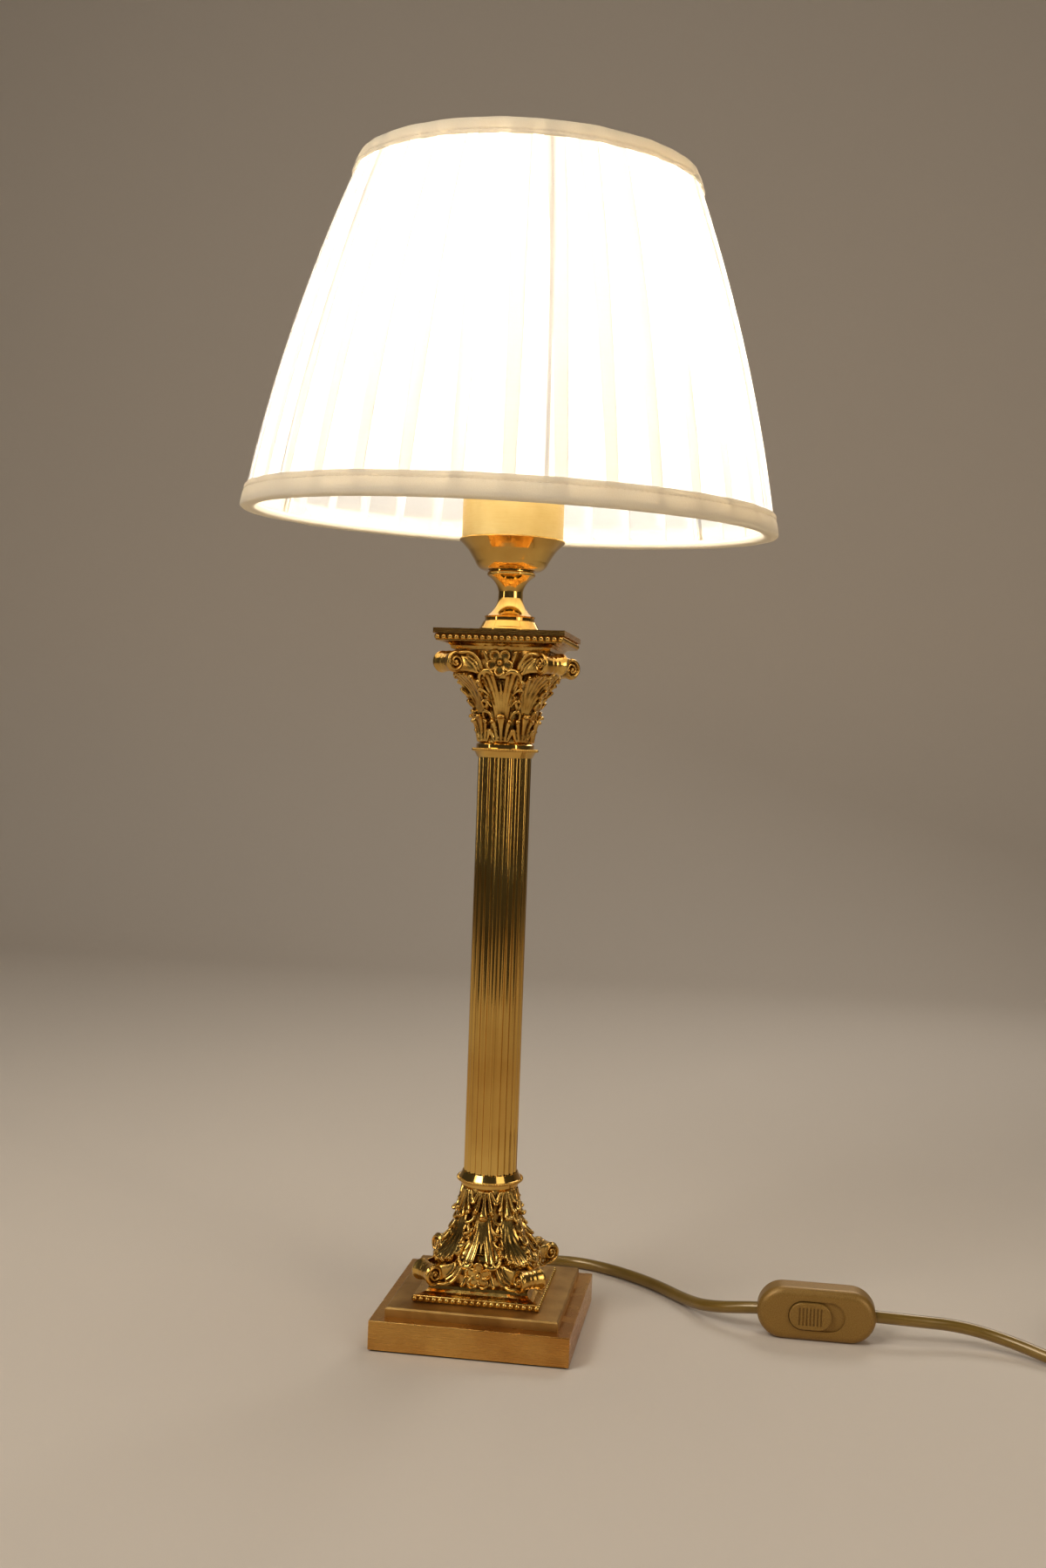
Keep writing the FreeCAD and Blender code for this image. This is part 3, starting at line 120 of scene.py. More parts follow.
# %% [markdown]
# ## Colour and node helpers
# Colours are written as sRGB hex, as a paint card gives them, and Blender's shaders
# want linear values. A pattern's scale is worked out from its real size, because
# object coordinates are in metres here.

# %% Helpers for materials
# Noise seldom leaves the middle of its range, so a change of roughness spans these.
NOISE_LOW, NOISE_HIGH = 0.3, 0.7
# A Mix node has its sockets for numbers, vectors and colours. These are for colours.
MIX_A, MIX_B, MIX_RESULT = 6, 7, 2


def linear(hex_colour):
    """An sRGB hex colour as the linear RGBA that a shader wants."""
    parts = [int(hex_colour[k:k + 2], 16) / 255 for k in (1, 3, 5)]
    return (*[c / 12.92 if c <= 0.04045 else ((c + 0.055) / 1.055) ** 2.4 for c in parts], 1.0)


def per_mm(size):
    """The noise scale at which a pattern has features of this size in millimetres."""
    return 1.0 / (size * MM)


def add(tree, kind, inputs=(), **settings):
    """Adds a node. Inputs is a dict of socket to a value or to the socket that feeds it."""
    node = tree.nodes.new(kind)
    for name, value in settings.items():
        setattr(node, name, value)
    for socket, value in dict(inputs).items():
        if isinstance(value, bpy.types.NodeSocket):
            tree.links.new(value, node.inputs[socket])
        else:
            node.inputs[socket].default_value = value
    return node


def start_material(name):
    """An empty material with its output, its surface shader and object coordinates."""
    material = bpy.data.materials.new(name)
    material.use_nodes = True
    tree = material.node_tree
    tree.nodes.clear()
    surface = add(tree, "ShaderNodeBsdfPrincipled")
    output = add(tree, "ShaderNodeOutputMaterial", {"Surface": surface.outputs[0]})
    place = add(tree, "ShaderNodeTexCoord").outputs["Object"]
    return material, tree, surface, output, place


def tint(tree, surface, pattern, low, high, colours):
    """Colours a surface from one hex to another as a pattern goes from low to high."""
    span = {"Value": pattern, "From Min": low, "From Max": high}
    share = add(tree, "ShaderNodeMapRange", span)
    ends = {"Factor": share.outputs[0], MIX_A: linear(colours[0]), MIX_B: linear(colours[1])}
    colour = add(tree, "ShaderNodeMix", ends, data_type="RGBA").outputs[MIX_RESULT]
    tree.links.new(colour, surface.inputs["Base Color"])
    return colour


def mark(tree, surface, pattern, depth, rough=None):
    """Raises a surface by a pattern, so many mm deep, and may vary its roughness with it."""
    raised = add(tree, "ShaderNodeBump", {"Height": pattern, "Distance": depth * MM})
    tree.links.new(raised.outputs["Normal"], surface.inputs["Normal"])
    if rough:
        span = {"Value": pattern, "From Min": NOISE_LOW, "From Max": NOISE_HIGH,
                "To Min": rough[0], "To Max": rough[1]}
        wear = add(tree, "ShaderNodeMapRange", span)
        tree.links.new(wear.outputs[0], surface.inputs["Roughness"])


def dress(material, *names):
    """Gives CAD nodes a material."""
    for name in names:
        nodes[name].data.materials.clear()
        nodes[name].data.materials.append(material)


def new_piece(name, mesh, material, body, slot, *stands_for):
    """Puts a mesh into the scene as a piece that rides on a body."""
    mesh.materials.clear()
    mesh.materials.append(material)
    piece = put(name, mesh)
    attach(piece, body)
    if stands_for:
        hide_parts(*stands_for)
    return piece


# %% [markdown]
# ## Brass
# The whole stand is brass, but each part was made in its own way and shines in its own
# way. Neck, cup and collars were spun and polished, the column was drawn through a die,
# the plinth was folded and brushed, and the two castings were poured. Polished brass
# shows its base colour. Scratches scatter the light, so brushed and ground brass each
# have a paler or duller pair of colours of their own. The satin sleeve's paler pair is
# painted light: it stands in for the bulb's glow on it. One function makes them all,
# because patches of tarnish and a stretched grain tell each process apart.

# %% Spun and polished brass
BRASS = "#E2BA66"
BRASS_DEEP = "#C08F42"
SMOOTHEST, ROUGHEST = 0.75, 1.3     # share of the roughness, as the grain varies it
PATCH_LOW, PATCH_HIGH = 0.35, 0.7   # noise values at which a patch begins and is full


def brass(name, roughness, patch, grain, stretch, depth, colours=(BRASS, BRASS_DEEP)):
    """Brass with slow patches of tarnish of one size and a stretched grain of another, in mm."""
    material, tree, surface, _, place = start_material(name)
    surface.inputs["Metallic"].default_value = 1.0
    patches = {"Vector": place, "Scale": per_mm(patch), "Detail": 4.0}
    slow = add(tree, "ShaderNodeTexNoise", patches)
    tint(tree, surface, slow.outputs[0], PATCH_LOW, PATCH_HIGH, colours)
    along = add(tree, "ShaderNodeMapping", {"Vector": place, "Scale": stretch})
    lines = {"Vector": along.outputs[0], "Scale": per_mm(grain), "Detail": 2.0}
    fine = add(tree, "ShaderNodeTexNoise", lines)
    mark(tree, surface, fine.outputs[0], depth, (roughness * SMOOTHEST, roughness * ROUGHEST))
    return material


# Turning marks run round a spun piece, so the grain is stretched flat and fine along Z.
# Real ones are about 0.1 mm wide, which no render of this size shows: these are 0.3 mm.
spun_brass = brass("spun_polished_brass", 0.1, 30.0, 0.9, (0.15, 0.15, 3.0), 0.003)
dress(spun_brass, "neck", "cup", "lower_collar", "upper_collar")
print("brass starts from", BRASS)

# %% Brushed, ground and satin brass
# Plinth and top plate were brushed level: soft streaks, and highlights that spread up
# and down. The lines are drawn two or three times as wide as the brush leaves them.
brushed_brass = brass("brushed_brass", 0.26, 40.0, 0.7, (0.06, 0.06, 3.0), 0.008,
                      ("#DFAE60", "#BC823E"))
dress(brushed_brass, "base_shell", "top_plate")
# The step plate was ground flat and left dull: a brown, even sheen with no direction.
ground_brass = brass("ground_brass", 0.45, 18.0, 0.5, (1.0, 1.0, 1.0), 0.01,
                     ("#C39A5A", "#99713A"))
dress(ground_brass, "step_plate")
# The sleeve was rubbed round about to a satin. Its pale colours are painted light, standing in for
# the glow of the bulb on it.
satin_brass_painted_glow = brass("satin_brass_painted_glow", 0.48, 25.0, 0.4, (0.05, 0.05, 2.0), 0.01,
                    ("#F3D995", "#E6C67C"))
dress(satin_brass_painted_glow, "socket_sleeve")

# Folded and sawn edges are never knife sharp: a file has been drawn along each.
FILED_MM = {"base_shell": 0.9, "step_plate": 0.7, "top_plate": 0.4}
for name, filed_mm in FILED_MM.items():
    filed = nodes[name].modifiers.new("filed", "BEVEL")
    filed.width = filed_mm * MM
    filed.segments = 3
    filed.limit_method = "ANGLE"
    filed.harden_normals = True
print("filed edges on", ", ".join(FILED_MM))

# %% [markdown]
# ## The column
# A tube with 24 round flutes, drawn through a die. The ridges between the flutes are
# narrow and a little crowned, so each catches one thin line of light. Cutting grooves
# with a boolean would leave ragged faces. Here one flute's outline is worked out and
# repeated round the tube, as the die does it.

# %% Outline of a flute and its ridge
COLUMN_R, COLUMN_BORE_R = 14.15, 12.4
FLUTES, FLUTE_SHARE, FLUTE_DEPTH = 24, 0.76, 0.75
FLUTE_HALF = 7                      # points on each side of a flute's middle
RIDGE_CROWN = 0.05
half_pitch = math.pi / FLUTES
half_chord = COLUMN_R * math.sin(half_pitch * FLUTE_SHARE)
flute_r = (half_chord ** 2 + FLUTE_DEPTH ** 2) / (2 * FLUTE_DEPTH)
flute_centre = COLUMN_R + flute_r - FLUTE_DEPTH
flute_outline = []                  # angle from the flute's middle, and radius
for k in range(2 * FLUTE_HALF + 1):
    chord = half_chord * (k - FLUTE_HALF) / FLUTE_HALF
    flute_outline.append((chord / COLUMN_R, flute_centre - math.sqrt(flute_r ** 2 - chord * chord)))
half_ridge = half_pitch * (1 - FLUTE_SHARE)
for share in (0.12, 0.5, 1.0, 1.5, 1.88):
    crown = RIDGE_CROWN * math.sin(math.pi * share / 2)
    flute_outline.append((half_pitch * FLUTE_SHARE + half_ridge * share, COLUMN_R + crown))
print("flute radius", round(flute_r, 2), "mm")

# %% The tube
tube_low, tube_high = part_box("column_tube")
# A loop close to each end keeps the shading of the long wall straight. Without it the
# normals lean over towards the flat end faces, and the tube mirrors like a lens.
END_LOOP = 0.3 * MM
LEVELS = [("bore", tube_low.z), ("bore", tube_high.z), ("flutes", tube_high.z),
          ("flutes", tube_high.z - END_LOOP), ("flutes", tube_low.z + END_LOOP),
          ("flutes", tube_low.z)]
END_ROWS = (1, 5)
verts = []
for wall, z in LEVELS:
    for k in range(FLUTES):
        for aside, outside_r in flute_outline:
            angle = math.tau * k / FLUTES + aside
            r = (COLUMN_BORE_R if wall == "bore" else outside_r) * MM
            verts.append((r * math.cos(angle), r * math.sin(angle), z))
around = FLUTES * len(flute_outline)
faces = walls(len(LEVELS), around, closed=True)
rounded = [k // around not in END_ROWS for k in range(len(faces))]
column_mesh = new_mesh("column", verts, faces, rounded)
# The die leaves faint streaks along the tube, so this grain is stretched along Z. It is
# as good as a mirror, and shows the dark room, the table and the tall lamps in lines.
drawn_brass = brass("drawn_brass", 0.065, 60.0, 1.6, (1.0, 1.0, 0.01), 0.0001)
new_piece("column", column_mesh, drawn_brass, "lamp", "brass", "column_tube")
print("column has", len(faces), "faces")

# %% [markdown]
# ## The Corinthian castings
# The showpiece: capital and foot are one casting, used upright and upside down. Real
# ones are carved in wax, poured and chased. Here each leaf is laid on the bell as a few
# crowned blades, and each blade is drawn through a handful of points: how far aside,
# how high, and how proud of the bell. The blades and the bell are then melted into one
# skin, which rounds their joins as pouring does. Spirals, pearls and petals are chased
# afterwards on a real casting, so they stay crisp here too.

# %% The bell's line and a place on it
CAST_TALL = 56.0
# height and radius
BELL_LINE = [(0, 14.0), (10, 14.5), (20, 15.6), (27, 16.9), (33, 18.8), (38, 20.8), (44, 22.6),
             (52, 23.4)]
FACE, CORNER = -90.0, -45.0         # headings, in degrees, of a side and of a corner
UPWARD = Vector((0, 0, 1))
cast_loose, cast_chased = [], []    # what is melted, and what stays crisp


def bell_r(z):
    """The bell's radius at a height, both in mm."""
    heights, radii = zip(*BELL_LINE)
    return float(np.interp(z, heights, radii))


def on_bell(aside, z, lift, heading):
    """A place so many mm beside a heading, at a height, and proud of the bell by lift."""
    r = bell_r(z) + lift
    angle = math.radians(heading) + aside / r
    return Vector((r * math.cos(angle), r * math.sin(angle), z))


def smooth_through(rows, count):
    """A smooth row of values through a few drawn ones (Catmull-Rom)."""
    rows = np.array([tuple(row) for row in rows], float)
    ends = np.vstack([2 * rows[0] - rows[1], rows, 2 * rows[-1] - rows[-2]])
    made = []
    for t in np.linspace(0, len(rows) - 1, count):
        k = min(int(t), len(rows) - 2)
        a, b, c, d = ends[k:k + 4]
        s = t - k
        bend = (2 * a - 5 * b + 4 * c - d) * s ** 2 + (3 * b - a - 3 * c + d) * s ** 3
        made.append(0.5 * (2 * b + (c - a) * s + bend))
    return np.array(made)


def line_through(points, count):
    """Places along a smooth line through drawn points."""
    return [Vector(p) for p in smooth_through(points, count)]


# %% A blade: a crowned strip swept through points
VEIN_SHARP = 6                      # a higher power makes a narrower vein
BLADE_POINTS = 18
LEAST_WIDE = 0.6
LIP_THINS = 0.45                    # share of its thickness that a leaf loses at its lip


def sweep(parts, points, outs, wides, talls, ring=10, vein=0.0):
    """A closed strip along points. outs face away from the bell; a vein dents the crown."""
    verts = []
    last = len(points) - 1
    for k, point in enumerate(points):
        ahead = points[min(k + 1, last)] - points[max(k - 1, 0)]
        across = ahead.cross(outs[k]).normalized()
        out = across.cross(ahead).normalized()
        for j in range(ring):
            a = math.tau * j / ring
            rise = math.sin(a) * (1 - vein * max(0.0, math.sin(a)) ** VEIN_SHARP)
            verts.append(point + across * (wides[k] / 2 * math.cos(a)) + out * (talls[k] * rise))
    parts.append((verts, walls(len(points), ring) + caps(len(points), ring)))


def blade(heading, rows, tall=1.5, side=1, vein=0.3, count=BLADE_POINTS, narrow=0.86):
    """rows: aside, height, lift, width. side -1 mirrors it about its heading."""
    drawn = smooth_through(rows, count)
    points = [on_bell(side * aside, z, lift, heading) for aside, z, lift, _ in drawn]
    outs = [Vector((point.x, point.y, 0)).normalized() for point in points]
    # where a tip curls over, its outside turns from outwards to downwards
    for k in range(1, count):
        run = points[k] - points[k - 1]
        outs[k] = (outs[k - 1] - run * (outs[k - 1].dot(run) / run.length_squared)).normalized()
    wides = [max(LEAST_WIDE, row[3] * narrow) for row in drawn]
    thins = [1 - LIP_THINS * (k / (count - 1)) ** 3 for k in range(count)]
    talls = [tall * min(1.0, 0.4 + wide / 4) * thin for wide, thin in zip(wides, thins)]
    sweep(cast_loose, points, outs, wides, talls, vein=vein)


def both(heading, rows, **options):
    """A blade and its mirror image."""
    blade(heading, rows, side=1, **options)
    blade(heading, rows, side=-1, **options)


# %% [markdown]
# ### Leaves of one quarter
# Three kinds of leaf cover the bell: a palm leaf in the middle of each side, a fan at
# each corner, and eight small leaves round the narrow end. A sculpted or scanned leaf
# would carry more detail than the casting has. Each here is a thin web with fluted
# blades on it, whose tips curl over and catch the light.

# %% The palm leaf opens into two lobes, with three flutes each under one curled lip
PALM_WEB = [(0, 11, -0.6, 5), (0, 20, -0.4, 8), (0, 28, 0.2, 12), (0, 33, 1.2, 15)]
PALM_RIB = [(0, 12, 1.0, 1.5), (0, 20, 1.7, 1.7), (0, 27, 2.6, 1.6), (0, 31.4, 3.7, 1.0)]
PALM_FLUTES = [
    [(2.9, 12.5, 0.4, 1.6), (3.8, 19, 0.8, 2.3), (5.4, 25, 1.5, 3.0), (7.9, 30.6, 2.9, 3.8),
     (9.9, 34.6, 4.8, 4.0), (10.9, 35.8, 6.8, 3.4), (11.2, 34.2, 7.8, 2.4), (10.8, 32.6, 7.4, 1.2)],
    [(1.8, 12.5, 0.6, 1.2), (2.4, 19, 1.2, 1.9), (3.5, 25, 2.0, 2.6), (5.3, 31, 3.3, 3.3),
     (7.0, 35.6, 5.0, 3.5), (7.8, 37.2, 7.0, 3.0), (8.1, 35.8, 8.3, 2.2), (7.9, 34.2, 8.1, 1.1)],
    [(0.9, 12.5, 0.7, 1.0), (1.2, 19, 1.4, 1.5), (1.8, 25, 2.4, 1.9), (3.0, 30.8, 3.6, 2.5),
     (4.2, 35.2, 5.2, 2.7), (4.8, 36.6, 7.0, 2.4), (5.0, 35.4, 8.0, 1.4)],
]
PALM_LIP = [(3.0, 35.4, 6.6, 1.8), (5.4, 37.2, 7.4, 2.6), (8.2, 37.2, 7.8, 2.8),
            (10.6, 35.8, 7.8, 2.4), (11.8, 33.8, 7.2, 1.4)]
blade(FACE, PALM_WEB, tall=1.0, vein=0)
blade(FACE, PALM_RIB)
for flute in PALM_FLUTES:
    both(FACE, flute)
both(FACE, PALM_LIP, tall=1.2, vein=0, narrow=1.0)
print("blades in a palm leaf:", len(cast_loose))

# %% The corner leaf: a fan of fluted fingers that rolls out under the volute
FAN_WEB = [(0, 10, -0.5, 6), (0, 18, -0.2, 9), (0, 25, 0.8, 11), (0, 31, 3.0, 13),
           (0, 34.6, 6.4, 14), (0, 35.8, 9.2, 12)]
FAN_RIB = [(0, 11, 0.8, 1.8), (0, 18, 1.4, 2.2), (0, 25, 2.8, 2.4), (0, 30, 5.0, 2.6),
           (0, 34, 8.2, 3.0), (0, 36.2, 11, 3.4), (0, 35.8, 12.8, 3.2), (0, 34.6, 13.4, 2.4)]
FINGERS = [
    [(0.9, 20, 1.8, 1.6), (1.6, 27, 3.4, 2.2), (2.5, 32, 6.6, 2.8), (3.2, 35.6, 10.4, 3.3),
     (3.4, 35.4, 12.0, 3.0), (3.3, 34.2, 12.7, 2.2)],
    [(1.0, 16.5, 1.3, 1.7), (2.5, 24, 2.6, 2.4), (4.3, 30, 5.4, 3.0), (5.9, 34.2, 8.8, 3.4),
     (6.4, 34.3, 10.3, 3.0), (6.3, 33.2, 11.0, 2.2)],
    [(1.2, 14, 1.0, 1.8), (3.4, 20.5, 2.0, 2.5), (5.9, 26.5, 4.2, 3.1), (8.0, 31.2, 7.0, 3.5),
     (8.7, 31.8, 8.4, 3.0), (8.7, 30.9, 9.2, 2.2)],
    [(1.3, 12, 0.7, 1.8), (3.6, 16.2, 1.4, 2.5), (6.2, 20.6, 2.4, 3.0), (7.9, 23.8, 3.6, 3.2),
     (8.6, 24.4, 4.6, 2.8), (8.6, 23.6, 5.2, 2.0)],
]
blade(CORNER, FAN_WEB, tall=1.1, vein=0)
blade(CORNER, FAN_RIB)
for finger in FINGERS:
    both(CORNER, finger, count=16)

# Three small lobes hood over on each edge of the fan, one above the other. Each row
# says its inner and outer side, its low and high end, and its lift at both.
HOODS = [(3.6, 8.6, 12.6, 16.9, 2.2, 4.0), (4.8, 9.6, 18.4, 22.2, 3.2, 5.5),
         (6.2, 10.8, 24.2, 28.0, 5.0, 8.0)]
for inner, outer, low_z, high_z, low_lift, high_lift in HOODS:
    shoulder_z = (low_z + high_z) / 2 + 1
    both(CORNER, [(inner, low_z, low_lift, 1.0), (inner + 0.6, shoulder_z, high_lift - 0.7, 1.5),
                  ((inner + outer) / 2, high_z, high_lift, 1.9),
                  (outer - 0.6, shoulder_z, high_lift - 0.8, 1.5),
                  (outer, low_z + 0.6, low_lift, 1.0)], tall=1.1, vein=0, count=16, narrow=1.0)
print("blades with the corner fan:", len(cast_loose))

# %% The ring of small leaves, under the sides and under the corners
RING_WEB = [(0, 0.6, -0.5, 9), (0, 6, -0.3, 10.5), (0, 10, 0.4, 9), (0, 12.5, 1.2, 7)]
RING_RIB = [(0, 0.8, 0.6, 1.8), (0, 6, 1.1, 2.2), (0, 10.8, 1.8, 3.8), (0, 13.8, 2.9, 5.8),
            (0, 14.3, 4.2, 6.0), (0, 13.3, 4.9, 4.6)]
RING_INNER = [(1.7, 1, 0.4, 1.4), (2.6, 5, 0.9, 1.9), (3.5, 9, 1.5, 2.6), (4.5, 11.4, 2.3, 3.2),
              (4.9, 11.7, 3.2, 3.2), (4.9, 10.8, 3.8, 2.4)]
RING_OUTER = [(3.1, 0.8, 0.2, 1.4), (4.4, 3.4, 0.7, 1.9), (5.5, 5.8, 1.3, 2.4),
              (6.0, 6.8, 2.0, 2.4), (6.1, 6.2, 2.6, 1.8)]
for heading in (FACE, CORNER):
    blade(heading, RING_WEB, tall=0.9, vein=0)
    blade(heading, RING_RIB)
    both(heading, RING_INNER, count=14)
    both(heading, RING_OUTER, count=12)
print("blades in the leaves of a quarter:", len(cast_loose))

# %% [markdown]
# ### Volutes
# Under each corner of the plate two scrolls roll in, on a barrel between them. A spiral
# could be a bevelled curve. It is swept here like the blades, because the rim then
# swells and thins along its way as a carver leaves it, and melts into the rest.

# %% The barrel, drawn in at its waist, where two bands tie it
SCROLL_REACH, SCROLL_LONG, SCROLL_R, SCROLL_Z = 38.0, 12.4, 6.1, CAST_TALL - 14.6
DIAGONAL = Vector((1, -1, 0)).normalized()
ACROSS = Vector((1, 1, 0)).normalized()
BARREL_POINTS = 25
TIE_PROUD, TIE_AT, TIE_WIDE = 0.07, 0.22, 0.07
scroll_centre = DIAGONAL * SCROLL_REACH + UPWARD * SCROLL_Z


def barrel_r(t):
    """The barrel's radius from one scroll, at -1, to the other, at 1."""
    tie = TIE_PROUD * math.exp(-((abs(t) - TIE_AT) / TIE_WIDE) ** 2)
    return SCROLL_R * (0.74 + 0.18 * t * t + tie)


waist = np.linspace(-1, 1, BARREL_POINTS)
barrel = [barrel_r(t) for t in waist]
sweep(cast_loose, [scroll_centre + ACROSS * (t * SCROLL_LONG / 2) for t in waist],
      [UPWARD] * BARREL_POINTS, [2 * r for r in barrel], barrel, ring=28)
print("barrel is", round(2 * min(barrel), 1), "mm thick at its waist")

# %% Scrolls
SCROLL_TURNS, RIM_WIDE = 1.75, 2.0
ROLL_START, ROLL_STEPS, RIM_POINTS = math.radians(112), 34, 120
# the rim comes from the calyx in this arch and rolls in
ARCH = [(8.4, -22.4, SCROLL_Z - 6.6), (9.4, -24.6, SCROLL_Z - 2.8), (12.0, -26.2, SCROLL_Z + 2.2),
        (16.0, -27.6, SCROLL_Z + 5.4)]
# the rim's width at shares of its length
RIM_AT, RIM_WIDES = [0, 0.1, 0.3, 0.6, 1], [1.4, 2.2, RIM_WIDE, 1.5, 1.1]


def to_side(points, side):
    """Points drawn for the front of the corner, or mirrored to its other side."""
    if side < 0:
        return [Vector(p) for p in points]
    return [Vector((-y, -x, z)) for x, y, z in points]


def scroll(side):
    """The spiral rim at one end of the barrel, and its eye."""
    disc = scroll_centre + ACROSS * (side * SCROLL_LONG / 2)
    rim = to_side(ARCH, side)
    for k in range(ROLL_STEPS):
        share = k / (ROLL_STEPS - 1)
        r = (SCROLL_R - RIM_WIDE / 2 + 0.3) * (1 - 0.78 * share ** 0.85)
        a = ROLL_START - math.tau * SCROLL_TURNS * share
        proud = ACROSS * (side * 0.7 * share)
        rim.append(disc + proud + DIAGONAL * (r * math.cos(a)) + UPWARD * (r * math.sin(a)))
    drawn = line_through(rim, RIM_POINTS)
    outs = [ACROSS * side] * RIM_POINTS
    wide = np.interp(np.linspace(0, 1, RIM_POINTS), RIM_AT, RIM_WIDES)
    sweep(cast_loose, drawn, outs, wide, wide * 0.6, ring=8)
    chased_rim = [p + ACROSS * (side * 0.15) for p in drawn]
    sweep(cast_chased, chased_rim, outs, wide * 0.92, wide * 0.62, ring=10)
    eye = [disc + ACROSS * (side * t) for t in (-1.0, 0.9, 1.5, 1.8)]
    sweep(cast_chased, eye, [UPWARD] * 4, [2.3, 2.3, 1.8, 0.7], [1.15, 1.15, 0.9, 0.35], ring=16)


# %% What fills and carries the scrolls
WEB_POINTS, STALK_POINTS = 16, 14
# a leaf fills the hollow between arch and scroll: its middle line and its width
WEB = [((9.6, -23.2, SCROLL_Z - 6.0), 2.0), ((12.4, -25.2, SCROLL_Z - 2.8), 5.5),
       ((16.0, -27.2, SCROLL_Z - 0.8), 8.0), ((20.0, -29.4, SCROLL_Z - 0.4), 8.5)]
# two ribs follow the arch: how far inside it, and how thick
WEB_RIBS = ((1.9, 1.0), (3.6, 0.9))


def scroll_leaf(side):
    """The leaf between arch and scroll, with its two ribs."""
    normal = to_side([(-0.54, -0.84, 0)], side)[0]
    outs = [normal] * WEB_POINTS
    drawn = line_through(to_side([p for p, _ in WEB], side), WEB_POINTS)
    wides = smooth_through([(wide, 0) for _, wide in WEB], WEB_POINTS)[:, 0]
    sweep(cast_loose, [p - normal * 0.9 for p in drawn], outs, wides, [0.9] * WEB_POINTS)
    for inset, thick in WEB_RIBS:
        rib = [(x + 0.55 * inset, y - 0.1 * inset, z - 0.85 * inset) for x, y, z in ARCH]
        drawn = [p - normal * 0.5 for p in line_through(to_side(rib, side), WEB_POINTS)]
        sweep(cast_loose, drawn, outs, [thick] * WEB_POINTS, [0.9] * WEB_POINTS, ring=8)


for side in (-1, 1):
    scroll(side)
    scroll_leaf(side)
# a stalk carries the barrel from the bell
stalk = [on_bell(0, SCROLL_Z - 10, 0.0, CORNER), on_bell(0, SCROLL_Z - 2, 3.0, CORNER),
         DIAGONAL * 32 + UPWARD * (SCROLL_Z + 2.4), DIAGONAL * 37 + UPWARD * (SCROLL_Z + 3.2)]
sweep(cast_loose, line_through(stalk, STALK_POINTS), [DIAGONAL] * 5 + [UPWARD] * 9,
      [8.5] * STALK_POINTS, [1.6] * STALK_POINTS, ring=12)
print("parts to melt:", len(cast_loose), "and to chase:", len(cast_chased))

# %% [markdown]
# ### Rosette and pearls
# A flower with five open petals sits on each side under the plate, and a row of pearls
# runs along the plate's edge. Both are punched and chased with small tools after the
# pouring, so their crisp parts go past the melt. The petals are rims round a shallow
# cup, as the photograph has them, and not flat leaves.

# %% Rosette with its side leaves
ROSETTE_Z, PETALS, PETAL_OUT, PETAL_R = 41.8, 5, 4.5, 2.35
PETAL_POINTS = 24
FRONT = Vector((0, -1, 0))
SIDE_LEAF = [(4.4, 38.6, 2.4, 1.6), (6.2, 42.0, 3.6, 2.6), (7.6, 45.6, 4.4, 2.8),
             (8.6, 47.6, 5.2, 2.0), (9.0, 46.6, 6.0, 1.0)]
rosette = on_bell(0, ROSETTE_Z, 4.2, FACE)


def petal(heading):
    """A raised rim round a shallow cup, on one heading from the flower's middle."""
    outward = Vector((math.cos(heading), 0, math.sin(heading)))
    middle = rosette + outward * PETAL_OUT + FRONT * 0.6
    rim = []
    for j in range(PETAL_POINTS + 1):
        b = math.tau * j / PETAL_POINTS
        place = Vector((math.cos(b), 0, math.sin(b))) * PETAL_R
        rim.append(middle + place + FRONT * (0.35 + 0.9 * place.dot(outward) / PETAL_R))
    sweep(cast_chased, rim, [FRONT] * len(rim), [1.25] * len(rim), [0.6] * len(rim), ring=8)
    bowl = [middle + FRONT * t for t in (-5.5, -0.1, 0.25)]
    sweep(cast_loose, bowl, [UPWARD] * 3, [4.6, 4.4, 2.6], [2.3, 2.2, 1.3], ring=14)


stem = [rosette + FRONT * t for t in (-6.5, 0.0, 0.6)]
sweep(cast_loose, stem, [UPWARD] * 3, [8.6, 8.6, 7.0], [4.3, 4.3, 3.5], ring=20)
button = [rosette + FRONT * t for t in (-1.0, 1.5, 2.2, 2.6)]
sweep(cast_chased, button, [UPWARD] * 4, [3.2, 3.2, 2.4, 0.9], [1.6, 1.6, 1.2, 0.45], ring=16)
for k in range(PETALS):
    petal(math.pi / 2 + math.tau * (k + 0.5) / PETALS)
both(FACE, SIDE_LEAF, count=12)
print("petals:", PETALS)

# %% Pearls on the plate's edge
PEARL_SIDE, PEARL_PITCH, PEARL_R = 67.8, 3.39, 1.5
PEARL_ROWS = 9
PEARL_OVAL = 1.04                   # a pearl is a little taller than wide
pearls = round(PEARL_SIDE / PEARL_PITCH)
pearl_heights = [-math.cos(math.pi * (j + 0.5) / PEARL_ROWS) for j in range(PEARL_ROWS)]
pearl_widths = [2 * PEARL_R * math.sqrt(1 - h * h) for h in pearl_heights]
for k in range(pearls):
    x = -PEARL_SIDE / 2 + PEARL_SIDE * (k + 0.5) / pearls
    at = Vector((x, -PEARL_SIDE / 2 + PEARL_R, CAST_TALL - PEARL_R - 0.15))
    bead = [at + UPWARD * (PEARL_R * PEARL_OVAL * h) for h in pearl_heights]
    sweep(cast_chased, bead, [FRONT] * PEARL_ROWS, pearl_widths, [w / 2 for w in pearl_widths],
          ring=12)
print("pearls on a side:", pearls)

# %% [markdown]
# ### One skin
# The quarter is turned to all four sides, and its loose parts are melted with the bell
# by a voxel remesh. Booleans would join them too, but they keep every crease and choke
# on so many overlaps. The square plate isn't melted, because its edges are milled.

